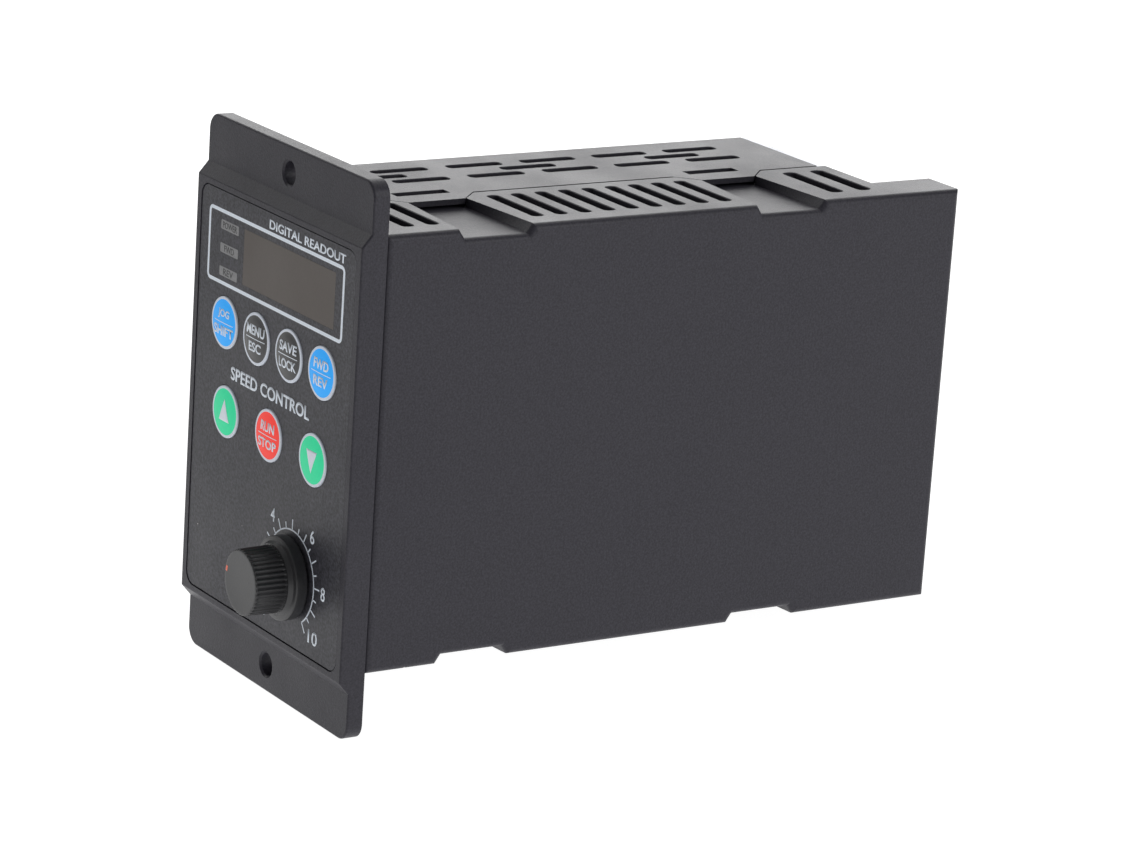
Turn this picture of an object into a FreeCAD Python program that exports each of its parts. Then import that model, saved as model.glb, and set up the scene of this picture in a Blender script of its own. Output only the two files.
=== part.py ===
import FreeCAD, Part
import math
import os

from FreeCAD import Vector

# Panel-mount variable frequency drive, in millimetres.
# X runs left to right, Y from the front (negative) to the rear, Z up.
# The origin is on the flange's rear face, midway between the two mounting holes.

# Mounting flange and the raised front that carries the controls.
PANEL_WIDTH = 76.0
PANEL_HEIGHT = 127.5
TAB_THICKNESS = 3.9
TAB_CORNER_RADIUS = 4.0
HOLE_SPACING = 115.0
HOLE_DIAMETER = 5.4
HOLE_CHAMFER = 0.45
FRONT_RISE = 6.3
FRONT_HEIGHT = 99.0
SHOULDER_RUN = 2.8
FRONT_EDGE_RADIUS = 0.45
FRONT_WALL = 2.2
SIDE_RIM = 2.15
END_RIM = 1.35
CAVITY_RIM = 5.0
CAVITY_END_RIM = 4.0

# Printed overlay, display window and indicator lenses.
OVERLAY_THICKNESS = 0.35
OVERLAY_SINK = 0.15
OVERLAY_GAP = 0.3
OVERLAY_CORNER_RADIUS = 3.0
LENS_THICKNESS = 1.5
LENS_GAP = 0.08
LENS_LEDGE = 1.0
LENS_CORNER_RADIUS = 0.3
WINDOW_X = 6.0
WINDOW_Z = 35.05
WINDOW_WIDTH = 42.0
WINDOW_HEIGHT = 12.9
INDICATOR_X = -21.9
INDICATOR_Z = 34.8
INDICATOR_PITCH = 5.4
INDICATOR_WIDTH = 8.4
INDICATOR_HEIGHT = 2.2
INDICATOR_LEDGE = 0.4

# Push keys.
KEY_DIAMETER = 12.2
KEY_GAP = 0.15
KEY_PROUD = 0.3
KEY_TRAVEL = 0.3
KEY_EDGE_RADIUS = 0.2
KEY_FLANGE = 0.8
KEY_FLANGE_THICKNESS = 0.5
KEY_FLANGE_GAP = 0.15
KEY_STEM_DIAMETER = 3.2
DOME_DIAMETER = 8.4
DOME_HEIGHT = 0.35
DOME_GAP = 0.1
KEYS_X = 0.55
UPPER_KEY_Z = 17.9
UPPER_KEY_SPACE = 2.95
LOWER_KEY_Z = -2.6
LOWER_KEY_SPACE = 8.3

# Speed knob and the potentiometer behind it.
KNOB_X = 13.3
KNOB_Z = -32.0
KNOB_GAP = 0.75
SKIRT_DIAMETER = 19.3
SKIRT_HEIGHT = 2.9
SKIRT_SLOPE_HEIGHT = 1.2
GRIP_BASE_DIAMETER = 15.4
GRIP_TOP_DIAMETER = 15.1
GRIP_HEIGHT = 7.8
GRIP_TEETH = 40
GRIP_TOOTH_DEPTH = 0.35
GRIP_EDGE = 0.5
POINTER_WIDTH = 1.3
POINTER_DEPTH = 1.2
POINTER_PROUD = 0.1
POINTER_ANGLE = -77.0
SHAFT_DIAMETER = 6.0
SHAFT_FLAT = 1.5
SHAFT_RUNNING_GAP = 0.05
KNOB_CAP = 2.0
BUSH_WALL = 0.5
BUSH_LENGTH = 3.8
NUT_ACROSS_FLATS = 10.0
NUT_THICKNESS = 1.5
NUT_ROOM = 1.3
WASHER_THICKNESS = 0.5
POT_SIZE = 16.0
POT_DEPTH = 9.0
POT_CORNER_RADIUS = 1.5
SHAFT_TAIL = 5.0
BORE_CLEARANCE = 0.5

# Housing: two moulded shells beside a heatsink.
HOUSING_HEIGHT = 100.0
HOUSING_OFFSET = 1.8
COVER_LENGTH = 135.7
GUARD_LENGTH = 18.8
COVER_WIDTH = 32.5
COVER_THICKNESS = 2.0
COVER_EDGE_RADIUS = 0.5
SHELL_WALL = 2.2
SHELL_EDGE_RADIUS = 1.5
PARTING_GAP = 0.75
PAD_RISE = 2.1
PAD_FLOOR = 2.0
PAD_OVERHANG = 1.9
RAIL_WIDTH = 12.3
TONGUE_REACH = 5.2
TONGUE_LENGTH = 14.5
TONGUE_FRONT = 20.6
TONGUE_REAR_SETBACK = 21.7
TONGUE_GAP = 0.4
TONGUE_THICKNESS = 1.3
RECESS_FLOOR_FLARE = 0.8
RECESS_TOP_FLARE = 2.8
LEDGE_REACH = 5.4
LEDGE_ROOT = 2.0
LATCH_SETBACK = 0.7
LATCH_WIDTH = 3.2
LATCH_END_GAP = 0.3
HOOK_CLEARANCE = 0.4
POST_DIAMETER = 6.4
POST_LENGTH = 14.0
POST_INSET = 3.4
POST_FROM_TOP = 7.8

# Air slots in the cover and in the right shell's pads.
VENT_WIDTH = 2.9
VENT_LENGTH = 14.5
VENT_BREAK = 0.2
VENT_END = 0.38
COVER_VENT_ROW = 13.75
COVER_VENT_SPREAD = 5.0
COVER_VENT_START = 27.5
COVER_VENT_PITCH = 20.07
COVER_VENT_END = 12.0
MIDDLE_VENT_START = 19.0
MIDDLE_VENT_PITCH = 40.2
PAD_VENT_INSET = 4.4
PAD_VENT_OUTER = 6.6
PAD_VENT_PITCH = 6.32
PAD_VENT_FROM_TONGUE = 7.3
FRONT_VENT_FROM_TONGUE = 5.2
VENT_EDGE = 4.0
FRONT_VENT_EDGE = 2.0
REAR_VENT_WIDTH = 3.5
REAR_VENT_FROM_TONGUE = 10.1
REAR_VENT_PITCH = 7.9

# Heatsink.
HEATSINK_DEPTH = 11.8
HEATSINK_BASE = 5.0
HEATSINK_TOP_GAP = 3.5
HEATSINK_SIDE_GAP = 0.2
FIN_PITCH = 6.4
FIN_THICKNESS = 1.6
HEATSINK_SCREW_INSET = 26.0
HEATSINK_SCREW_RISE = 14.0

# Boards and the power stage. A chip is given by its centre across and up, width, height and thickness.
BOARD_THICKNESS = 1.6
BOARD_EDGE_GAP = 0.6
BOARD_BEHIND_PANEL = 2.0
BOARD_BOSS_DIAMETER = 4.4
BOARD_BOSS_LEFT = -15.9
BOARD_BOSS_RIGHT = 24.0
BOARD_BOSS_TOP_INSET = 2.5
BOARD_BOSS_END_INSET = 5.0
BEZEL_BOSS_DIAMETER = 6.0
CONTROLLER_CHIP = (-13.0, 7.0, 10.0, 10.0, 1.4)
MEMORY_CHIP = (-0.5, 6.0, 5.0, 4.0, 1.6)
POWER_BOARD_LIFT = 12.2
POWER_BOSS_DIAMETER = 6.0
POWER_SCREW_LENGTH = 8.0
POWER_BOARD_INSET = 5.0
POWER_BOARD_FRONT = 14.0
POWER_BOARD_REAR_GAP = 12.0
POWER_BOARD_TOP_GAP = 7.8
PAD_FILM = 0.3
MODULE_FRONT = 40.0
MODULE_LENGTH = 42.0
MODULE_HEIGHT = 28.0
MODULE_THICKNESS = 9.0
MODULE_EAR = 3.5
MODULE_EAR_THICKNESS = 3.7
MODULE_SCREW_LENGTH = 6.5
MODULE_LEGS = 9
BRIDGE_LENGTH = 14.0
BRIDGE_HEIGHT = 22.0
BRIDGE_THICKNESS = 6.0
MODULE_SPACING = 4.0
WALL_WINDOW_MARGIN = 3.0
CONNECTOR_LENGTH = 16.0
CONNECTOR_THICKNESS = 6.0
CONNECTOR_LAP = 8.0
CONNECTOR_DROP = 2.0
CAPACITOR_DIAMETER = 22.0
CAPACITOR_SPACE = 4.0
CAPACITOR_INSET = 13.0
CAPACITOR_RISE = 7.0
TALL_PART_CLEARANCE = 3.5
TRANSFORMER_SIZE = 24.0
TRANSFORMER_THICKNESS = 8.0
TRANSFORMER_LIMB = 4.0
TRANSFORMER_SPACE = 2.5
WINDING_GAP = 0.2
WINDING_PROUD = 4.0
WINDING_FOOT = 3.0
RELAY_SIZE = (15.0, 18.0, 12.0)
RELAY_SPACE = 2.0
CHOKE_RADIUS = 7.5
CHOKE_WIRE_RADIUS = 3.4
CHOKE_INSET = 44.0
CHOKE_DROP = 16.0
FILM_CAPACITOR_SIZE = (13.0, 6.0, 18.0)
FILM_CAPACITOR_INSETS = (14.0, 23.0)
FILM_CAPACITOR_DROP = 8.0
FUSE_RADIUS = 2.6
FUSE_LENGTH = 20.0
FUSE_INSET = 56.0
FUSE_LIFT = 5.0
FUSE_DROP = 6.0
CLIP_LENGTH = 5.0
CLIP_WALL = 1.0

# Rear plate, fan and terminals.
REAR_PLATE_THICKNESS = 2.0
REAR_PLATE_EDGE_GAP = 0.2
FAN_SIZE = 40.0
FAN_THICKNESS = 10.0
FAN_HOLE_SPACING = 32.0
FAN_X = -2.0
FAN_BORE_DIAMETER = 38.0
FAN_TIP_GAP = 0.7
FAN_HUB_DIAMETER = 16.0
FAN_BLADES = 7
FAN_BLADE_ANGLE = 38.0
FAN_BLADE = 1.0
FAN_CORNER_RADIUS = 3.0
FAN_SEAT_THICKNESS = 1.8
FAN_SEAT_GAP = 0.6
FAN_ROTOR_SETBACK = 0.8
FAN_HUB_EDGE = 0.8
FAN_AXLE_DIAMETER = 2.0
FAN_BEARING_WALL = 1.4
GRILLE_BAND = 2.4
GRILLE_BAR = 1.5
TERMINAL_POLES = 6
TERMINAL_PITCH = 9.53
TERMINAL_Z = -1.55
TERMINAL_FIN = 1.4
FIN_CORNER_RADIUS = 2.0
TERMINAL_WIDTH = 13.0
TERMINAL_BASE = 6.3
TERMINAL_PROUD = 0.8
TERMINAL_SIDE_GAP = 0.4
TERMINAL_EAR = 6.6
TERMINAL_EAR_THICKNESS = 3.5
CONTACT_THICKNESS = 1.0
CLAMP_THICKNESS = 1.0
TERMINAL_SCREW_DIAMETER = 3.5
TERMINAL_HEAD_DIAMETER = 6.4
TERMINAL_HEAD_HEIGHT = 2.4
TERMINAL_SLOT = 5.0
CONTACT_GAP = 0.465
CLAMP_GAP = 0.565
TERMINAL_BOARD_SETBACK = 6.0
TERMINAL_BOARD_MARGIN = 3.0
EARTH_X = 12.0
EARTH_FROM_BOTTOM = 13.0
EARTH_WASHER_DIAMETER = 9.2
EARTH_WASHER_THICKNESS = 1.0
EARTH_SCREW_LENGTH = 6.0

# Fasteners: shank diameter, head diameter, head height.
M25 = (2.5, 4.4, 1.3)
M3 = (3.0, 5.4, 1.6)
M4 = (4.0, 7.6, 2.4)
SCREW_RECESS = 0.6

# Places worked out from the dimensions above.
RIGHT = PANEL_WIDTH / 2
LEFT = -PANEL_WIDTH / 2
TOP = HOUSING_OFFSET + HOUSING_HEIGHT / 2
BOTTOM = HOUSING_OFFSET - HOUSING_HEIGHT / 2
OVERLAY_FRONT = OVERLAY_SINK - FRONT_RISE
OVERLAY_REAR = OVERLAY_FRONT + OVERLAY_THICKNESS
WALL_REAR = OVERLAY_REAR + FRONT_WALL
BOARD_FRONT = -BOARD_BEHIND_PANEL
BOARD_REAR = BOARD_FRONT + BOARD_THICKNESS
CAVITY_X = RIGHT - CAVITY_RIM
CAVITY_Z = FRONT_HEIGHT / 2 - CAVITY_END_RIM
BOARD_BOSS_TOP = CAVITY_Z - BOARD_BOSS_TOP_INSET
BOARD_BOSS_LOW = BOARD_BOSS_END_INSET - CAVITY_Z
HOUSING_DEPTH = COVER_LENGTH + GUARD_LENGTH
COVER_LEFT = LEFT + HEATSINK_DEPTH
PARTING = COVER_LEFT + COVER_WIDTH
RECESS_FLOOR = TOP - PAD_RISE
PAD_BOTTOM = RECESS_FLOOR - PAD_FLOOR
PAD_REAR = COVER_LENGTH + PAD_OVERHANG
TONGUES = (TONGUE_FRONT, COVER_LENGTH - TONGUE_REAR_SETBACK - TONGUE_LENGTH)
POST_X = RIGHT - SHELL_WALL - POST_INSET
POST_Z = TOP - POST_FROM_TOP
POST_Z_LOW = 2 * HOUSING_OFFSET - POST_Z
HEATSINK_TOP = TOP - HEATSINK_TOP_GAP
HEATSINK_BOTTOM = BOTTOM + HEATSINK_TOP_GAP
BASE_LEFT = COVER_LEFT - HEATSINK_BASE
BASE_MIDDLE = COVER_LEFT - HEATSINK_BASE / 2
SHELL_INNER_LEFT = COVER_LEFT + COVER_THICKNESS
INNER_RIGHT = RIGHT - SHELL_WALL
POWER_BOARD_X = COVER_LEFT + POWER_BOARD_LIFT
POWER_BOARD_FACE = POWER_BOARD_X + BOARD_THICKNESS
POWER_BOARD_REAR = COVER_LENGTH - POWER_BOARD_REAR_GAP
POWER_BOARD_TOP = TOP - POWER_BOARD_TOP_GAP
POWER_BOARD_BOTTOM = BOTTOM + POWER_BOARD_TOP_GAP
FAN_Z = HOUSING_OFFSET
FAN_FRONT = COVER_LENGTH - FAN_THICKNESS
REAR_PLATE_REAR = COVER_LENGTH + REAR_PLATE_THICKNESS
TERMINAL_RIGHT = INNER_RIGHT - TERMINAL_SIDE_GAP
TERMINAL_LEFT = TERMINAL_RIGHT - TERMINAL_WIDTH
TERMINAL_X = (TERMINAL_LEFT + TERMINAL_RIGHT) / 2
TERMINAL_DECK = REAR_PLATE_REAR + TERMINAL_BASE
TERMINAL_HALF = (TERMINAL_POLES * TERMINAL_PITCH + TERMINAL_FIN) / 2
TERMINAL_BOARD_REAR = COVER_LENGTH - TERMINAL_BOARD_SETBACK
EARTH_Z = BOTTOM + EARTH_FROM_BOTTOM

UPPER_KEY_PITCH = KEY_DIAMETER + UPPER_KEY_SPACE
LOWER_KEY_PITCH = KEY_DIAMETER + LOWER_KEY_SPACE
KEYS = (
    ("key_shift", KEYS_X - 1.5 * UPPER_KEY_PITCH, UPPER_KEY_Z),
    ("key_menu", KEYS_X - 0.5 * UPPER_KEY_PITCH, UPPER_KEY_Z),
    ("key_save", KEYS_X + 0.5 * UPPER_KEY_PITCH, UPPER_KEY_Z),
    ("key_direction", KEYS_X + 1.5 * UPPER_KEY_PITCH, UPPER_KEY_Z),
    ("key_up", KEYS_X - LOWER_KEY_PITCH, LOWER_KEY_Z),
    ("key_run_stop", KEYS_X, LOWER_KEY_Z),
    ("key_down", KEYS_X + LOWER_KEY_PITCH, LOWER_KEY_Z),
)
BEZEL_SCREW_PLACES = (
    (BASE_MIDDLE, POST_Z),
    (BASE_MIDDLE, POST_Z_LOW),
    (POST_X, POST_Z),
    (POST_X, POST_Z_LOW),
)
BOARD_SCREW_PLACES = (
    (BOARD_BOSS_LEFT, BOARD_BOSS_TOP),
    (BOARD_BOSS_RIGHT, BOARD_BOSS_TOP),
    (BOARD_BOSS_LEFT, BOARD_BOSS_LOW),
    (BOARD_BOSS_RIGHT, BOARD_BOSS_LOW),
)


# Basic shapes.

def box(x0, x1, y0, y1, z0, z1):
    """Block between two corners."""
    return Part.makeBox(x1 - x0, y1 - y0, z1 - z0, Vector(x0, y0, z0))


def rod_x(y, z, radius, x0, x1):
    """Cylinder along X."""
    return Part.makeCylinder(radius, x1 - x0, Vector(x0, y, z), Vector(1, 0, 0))


def rod_y(x, z, radius, y0, y1):
    """Cylinder along Y."""
    return Part.makeCylinder(radius, y1 - y0, Vector(x, y0, z), Vector(0, 1, 0))


def union(shapes):
    """One solid from pieces that touch or cross."""
    return shapes[0].fuse(shapes[1:]).removeSplitter()


def cut_all(shape, tools):
    """Shape with every tool taken away."""
    return shape.cut(Part.makeCompound(tools))


def rounded_outline(a0, a1, b0, b1, radius, place):
    """Closed outline of a rectangle with round corners; place turns its two coordinates into a point."""
    diagonal = radius * math.sqrt(0.5)
    corners = (
        (a1 - radius, b0 + radius, 1, -1),
        (a1 - radius, b1 - radius, 1, 1),
        (a0 + radius, b1 - radius, -1, 1),
        (a0 + radius, b0 + radius, -1, -1),
    )
    arcs = []
    for a, b, side_a, side_b in corners:
        on_b = place(a, b + side_b * radius)
        on_a = place(a + side_a * radius, b)
        middle = place(a + side_a * diagonal, b + side_b * diagonal)
        ends = (on_b, on_a) if side_a * side_b < 0 else (on_a, on_b)
        arcs.append(Part.Arc(ends[0], middle, ends[1]).toShape())
    edges = []
    for index, arc in enumerate(arcs):
        edges.append(arc)
        follower = arcs[(index + 1) % 4]
        edges.append(Part.makeLine(arc.Vertexes[-1].Point, follower.Vertexes[0].Point))
    return Part.Wire(edges)


def upright_slab(x0, x1, z0, z1, radius, y0, y1):
    """Plate facing the front, with round corners, between two depths."""
    outline = rounded_outline(x0, x1, z0, z1, radius, lambda a, b: Vector(a, y0, b))
    return Part.Face(outline).extrude(Vector(0, y1 - y0, 0))


def vent(x0, x1, y0, y1):
    """Cutter for an air slot with round ends and a broken top edge, through the top of the housing."""
    radius = VENT_END * min(x1 - x0, y1 - y0)
    low = rounded_outline(x0, x1, y0, y1, radius, lambda a, b: Vector(a, b, PAD_BOTTOM - 1))
    shaft = Part.Face(low).extrude(Vector(0, 0, TOP - PAD_BOTTOM + 2))
    rims = []
    for growth, level in ((0, TOP - VENT_BREAK), (2 * VENT_BREAK, TOP + VENT_BREAK)):
        rims.append(rounded_outline(
            x0 - growth, x1 + growth, y0 - growth, y1 + growth, radius + growth,
            lambda a, b: Vector(a, b, level)))
    return shaft.fuse(Part.makeLoft(rims, True, True))


def prism_x(points, x0, x1):
    """Solid with the outline given as (y, z) points, along X."""
    corners = [Vector(x0, y, z) for y, z in points]
    face = Part.Face(Part.makePolygon(corners + corners[:1]))
    return face.extrude(Vector(x1 - x0, 0, 0))


def prism_y(points, y0, y1):
    """Solid with the outline given as (x, z) points, along Y."""
    corners = [Vector(x, y0, z) for x, z in points]
    face = Part.Face(Part.makePolygon(corners + corners[:1]))
    return face.extrude(Vector(0, y1 - y0, 0))


def prism_z(points, z0, z1):
    """Solid with the outline given as (x, y) points, along Z."""
    corners = [Vector(x, y, z0) for x, y in points]
    face = Part.Face(Part.makePolygon(corners + corners[:1]))
    return face.extrude(Vector(0, 0, z1 - z0))


def turned(points, x, z):
    """Solid of revolution about a line along Y, from (radius, y) points."""
    corners = [Vector(x + radius, y, z) for radius, y in points]
    face = Part.Face(Part.makePolygon(corners + corners[:1]))
    return face.revolve(Vector(x, 0, z), Vector(0, 1, 0), 360)


def below(shape):
    """The same shape on the underside of the housing."""
    return shape.mirror(Vector(0, 0, HOUSING_OFFSET), Vector(0, 0, 1))


def both_sides(shape):
    """Shape together with its copy on the underside of the housing."""
    return [shape, below(shape)]


def screw(size, length, place, direction):
    """Pan-head screw with a cross recess: place is under its head, direction points along its shank."""
    shank, head, height = size
    body = Part.makeCylinder(shank / 2, length, place, direction)
    top = place - direction * height
    cap = Part.makeCylinder(head / 2, height, top, direction)
    cap = cap.makeFillet(0.3 * height, [cap.Edges[0] if near_point(cap.Edges[0], top) else cap.Edges[2]])
    slot_length = 0.6 * head
    slot_width = 0.12 * head
    corner = Vector(-slot_length / 2, -slot_width / 2, 0)
    bar = Part.makeBox(slot_length, slot_width, SCREW_RECESS, corner)
    cross = bar.fuse(Part.makeBox(slot_width, slot_length, SCREW_RECESS, Vector(corner.y, corner.x, 0)))
    cross.Placement = FreeCAD.Placement(top, FreeCAD.Rotation(Vector(0, 0, 1), direction))
    return body.fuse(cap).cut(cross).removeSplitter()


def near_point(edge, point):
    """Whether an edge's middle plane passes through a point."""
    return (edge.CenterOfMass - point).Length < 1e-3


# Front.

def front_bezel():
    """Moulded flange with two mounting tabs, the raised front and its overlay recess."""
    half_front = FRONT_HEIGHT / 2
    foot = half_front + SHOULDER_RUN
    half_height = PANEL_HEIGHT / 2
    flange = upright_slab(LEFT, RIGHT, -half_height, half_height, TAB_CORNER_RADIUS, -TAB_THICKNESS, 0)
    front = prism_x(
        ((0, -foot), (-TAB_THICKNESS, -foot), (-FRONT_RISE, -half_front),
         (-FRONT_RISE, half_front), (-TAB_THICKNESS, foot), (0, foot)), LEFT, RIGHT)
    shape = union([flange, front])
    rim = [edge for edge in shape.Edges if is_front_rim(edge)]
    shape = shape.makeFillet(FRONT_EDGE_RADIUS, rim)

    recess_x = RIGHT - SIDE_RIM
    recess_z = half_front - END_RIM
    tools = [upright_slab(
        -recess_x, recess_x, -recess_z, recess_z,
        OVERLAY_CORNER_RADIUS + OVERLAY_GAP, -FRONT_RISE - 1, OVERLAY_REAR)]
    tools.append(upright_slab(
        -CAVITY_X, CAVITY_X, -CAVITY_Z, CAVITY_Z, OVERLAY_CORNER_RADIUS, WALL_REAR, 1))
    shape = cut_all(shape, tools)

    bosses = [rod_y(x, z, BEZEL_BOSS_DIAMETER / 2, WALL_REAR - 0.5, 0) for x, z in BEZEL_SCREW_PLACES]
    bosses += [
        rod_y(x, z, BOARD_BOSS_DIAMETER / 2, WALL_REAR - 0.5, BOARD_FRONT)
        for x, z in BOARD_SCREW_PLACES]
    shape = union([shape] + bosses)
    return cut_all(shape, bezel_openings())


def is_front_rim(edge):
    """Whether an edge of the plain flange runs round its front, and isn't the foot of a shoulder."""
    box_ = edge.BoundBox
    if box_.YMax > -0.01 or box_.YMax - box_.YMin > TAB_THICKNESS - 0.5 and box_.XMax - box_.XMin < 0.01:
        return False
    crosses = box_.XMax - box_.XMin > PANEL_WIDTH - 0.01
    foot = FRONT_HEIGHT / 2 + SHOULDER_RUN
    return not (crosses and abs(abs(box_.ZMin) - foot) < 0.01)


def bezel_openings():
    """Everything that passes through the bezel: holes, lens pockets and screw seats."""
    tools = []
    for side in (-1, 1):
        z = side * HOLE_SPACING / 2
        radius = HOLE_DIAMETER / 2
        tools.append(rod_y(0, z, radius, -TAB_THICKNESS - 1, 1))
        tools.append(turned(
            ((0, -TAB_THICKNESS - 0.1), (radius + HOLE_CHAMFER + 0.1, -TAB_THICKNESS - 0.1),
             (radius - 0.1, -TAB_THICKNESS + HOLE_CHAMFER + 0.1), (0, -TAB_THICKNESS + HOLE_CHAMFER + 0.1)),
            0, z))
    for _, x, z in KEYS:
        tools.append(rod_y(x, z, KEY_DIAMETER / 2 + KEY_GAP, -FRONT_RISE - 1, 0))
        tools.append(rod_y(x, z, KEY_DIAMETER / 2 + KEY_FLANGE + KEY_GAP, WALL_REAR, 0))
    tools.append(rod_y(KNOB_X, KNOB_Z, NUT_ACROSS_FLATS / 2 + NUT_ROOM, -FRONT_RISE - 1, 0))
    for lens in lens_places():
        x, z, width, height, ledge = lens
        tools.append(lens_slab(x, z, width + LENS_GAP, height + LENS_GAP, OVERLAY_FRONT, lens_rear()))
        tools.append(lens_slab(x, z, width - 2 * ledge, height - 2 * ledge, OVERLAY_FRONT, 0))
    for x, z in BEZEL_SCREW_PLACES:
        tools.append(rod_y(x, z, M3[0] / 2, -FRONT_RISE, 1))
        tools.append(rod_y(x, z, M3[1] / 2 + 0.1, -FRONT_RISE, OVERLAY_REAR + M3[2]))
    for x, z in BOARD_SCREW_PLACES:
        tools.append(rod_y(x, z, M25[0] / 2, WALL_REAR - 0.8, 0))
    return tools


def lens_places():
    """Centre, size and seat width of the display window and the indicator lenses."""
    places = [(WINDOW_X, WINDOW_Z, WINDOW_WIDTH, WINDOW_HEIGHT, LENS_LEDGE)]
    for step in (-1, 0, 1):
        z = INDICATOR_Z + step * INDICATOR_PITCH
        places.append((INDICATOR_X, z, INDICATOR_WIDTH, INDICATOR_HEIGHT, INDICATOR_LEDGE))
    return places


def lens_rear():
    """Depth at which every lens seats."""
    return OVERLAY_FRONT + LENS_THICKNESS


def lens_slab(x, z, width, height, y0, y1):
    """Lens or lens-pocket block about a centre."""
    return upright_slab(
        x - width / 2, x + width / 2, z - height / 2, z + height / 2, LENS_CORNER_RADIUS, y0, y1)


def keypad_overlay():
    """Thin printed film in the bezel's recess, with openings for lenses, keys and the knob's shaft."""
    half_x = RIGHT - SIDE_RIM - OVERLAY_GAP
    half_z = FRONT_HEIGHT / 2 - END_RIM - OVERLAY_GAP
    film = upright_slab(-half_x, half_x, -half_z, half_z, OVERLAY_CORNER_RADIUS, OVERLAY_FRONT, OVERLAY_REAR)
    tools = [rod_y(x, z, KEY_DIAMETER / 2 + KEY_GAP, OVERLAY_FRONT - 1, 0) for _, x, z in KEYS]
    tools.append(rod_y(KNOB_X, KNOB_Z, SHAFT_DIAMETER / 2 + BORE_CLEARANCE, OVERLAY_FRONT - 1, 0))
    for x, z, width, height, _ in lens_places():
        tools.append(lens_slab(x, z, width + LENS_GAP, height + LENS_GAP, OVERLAY_FRONT - 1, 0))
    return cut_all(film, tools)


def display_window():
    """Tinted window that seats on the bezel's ledge, flush with the overlay."""
    x, z, width, height, _ = lens_places()[0]
    return lens_slab(x, z, width, height, OVERLAY_FRONT, lens_rear())


def indicator_lenses():
    """Three small light windows beside the display."""
    return [lens_slab(x, z, width, height, OVERLAY_FRONT, lens_rear())
            for x, z, width, height, _ in lens_places()[1:]]


def key(x, z):
    """Key cap with the flange that keeps it in and the stem that presses its dome."""
    front = OVERLAY_FRONT - KEY_PROUD
    flange = WALL_REAR + KEY_FLANGE_GAP
    radius = KEY_DIAMETER / 2
    cap = rod_y(x, z, radius, front, flange)
    rim = [edge for edge in cap.Edges if abs(edge.BoundBox.YMax - front) < 1e-3]
    cap = cap.makeFillet(KEY_EDGE_RADIUS, rim)
    rear = flange + KEY_FLANGE_THICKNESS
    stem_end = BOARD_FRONT - DOME_HEIGHT - DOME_GAP - KEY_TRAVEL
    return union([
        cap,
        rod_y(x, z, radius + KEY_FLANGE, flange, rear),
        rod_y(x, z, KEY_STEM_DIAMETER / 2, rear - 0.2, stem_end),
    ])


def key_domes():
    """Snap domes on the control board, one under each key."""
    base = BOARD_FRONT
    top = base - DOME_HEIGHT
    edge = 0.4 * DOME_DIAMETER
    points = ((0, top), (0.5 * edge, top), (edge, top + 0.15), (DOME_DIAMETER / 2, base), (0, base))
    return [turned(points, x, z) for _, x, z in KEYS]


# Control board and potentiometer.

def control_board():
    """Board behind the bezel's front wall, screwed to its bosses."""
    half_x = CAVITY_X - BOARD_EDGE_GAP
    half_z = CAVITY_Z - BOARD_EDGE_GAP
    board = upright_slab(-half_x, half_x, -half_z, half_z, OVERLAY_CORNER_RADIUS, BOARD_FRONT, BOARD_REAR)
    tools = [rod_y(x, z, BEZEL_BOSS_DIAMETER / 2 + 0.3, BOARD_FRONT - 1, 1) for x, z in BEZEL_SCREW_PLACES]
    tools += [rod_y(x, z, M25[0] / 2, BOARD_FRONT - 1, 1) for x, z in BOARD_SCREW_PLACES]
    tools.append(rod_y(KNOB_X, KNOB_Z, bush_radius() + 0.2, BOARD_FRONT - 1, 1))
    return cut_all(board, tools)


def board_screws():
    """Four screws that hold the control board."""
    return [screw(M25, BOARD_REAR - WALL_REAR + 0.4, Vector(x, BOARD_REAR, z), Vector(0, -1, 0))
            for x, z in BOARD_SCREW_PLACES]


def bezel_screws():
    """Four screws under the overlay that hold the bezel to the heatsink and the right shell."""
    seat = OVERLAY_REAR + M3[2]
    return [screw(M3, POST_LENGTH - 4 - seat, Vector(x, seat, z), Vector(0, 1, 0))
            for x, z in BEZEL_SCREW_PLACES]


def control_chips():
    """Controller and memory packages on the board's rear."""
    chips = []
    for x, z, width, height, thickness in (CONTROLLER_CHIP, MEMORY_CHIP):
        chips.append(box(
            x - width / 2, x + width / 2, BOARD_REAR, BOARD_REAR + thickness, z - height / 2, z + height / 2))
    return chips


def led_display():
    """Digit module behind the window."""
    inset = 2 * LENS_LEDGE
    width = WINDOW_WIDTH - 2 * inset
    height = WINDOW_HEIGHT - 2 * inset
    return lens_slab(WINDOW_X, WINDOW_Z, width, height, lens_rear() + 0.2, BOARD_FRONT)


def indicator_leds():
    """Three lamps behind the indicator lenses."""
    return [lens_slab(x, z, 0.6 * width, INDICATOR_HEIGHT - 0.6, WALL_REAR + 0.2, BOARD_FRONT)
            for x, z, width, _, _ in lens_places()[1:]]


def bush_radius():
    """Outside of the potentiometer's threaded bush."""
    return SHAFT_DIAMETER / 2 + SHAFT_RUNNING_GAP + BUSH_WALL


def potentiometer_body():
    """Case on the rear of the control board."""
    half = POT_SIZE / 2
    case = upright_slab(
        KNOB_X - half, KNOB_X + half, KNOB_Z - half, KNOB_Z + half, POT_CORNER_RADIUS,
        BOARD_REAR, BOARD_REAR + POT_DEPTH)
    hole = rod_y(
        KNOB_X, KNOB_Z, SHAFT_DIAMETER / 2 + BORE_CLEARANCE,
        BOARD_REAR - 1, SHAFT_TAIL + BORE_CLEARANCE)
    return case.cut(hole)


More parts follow.
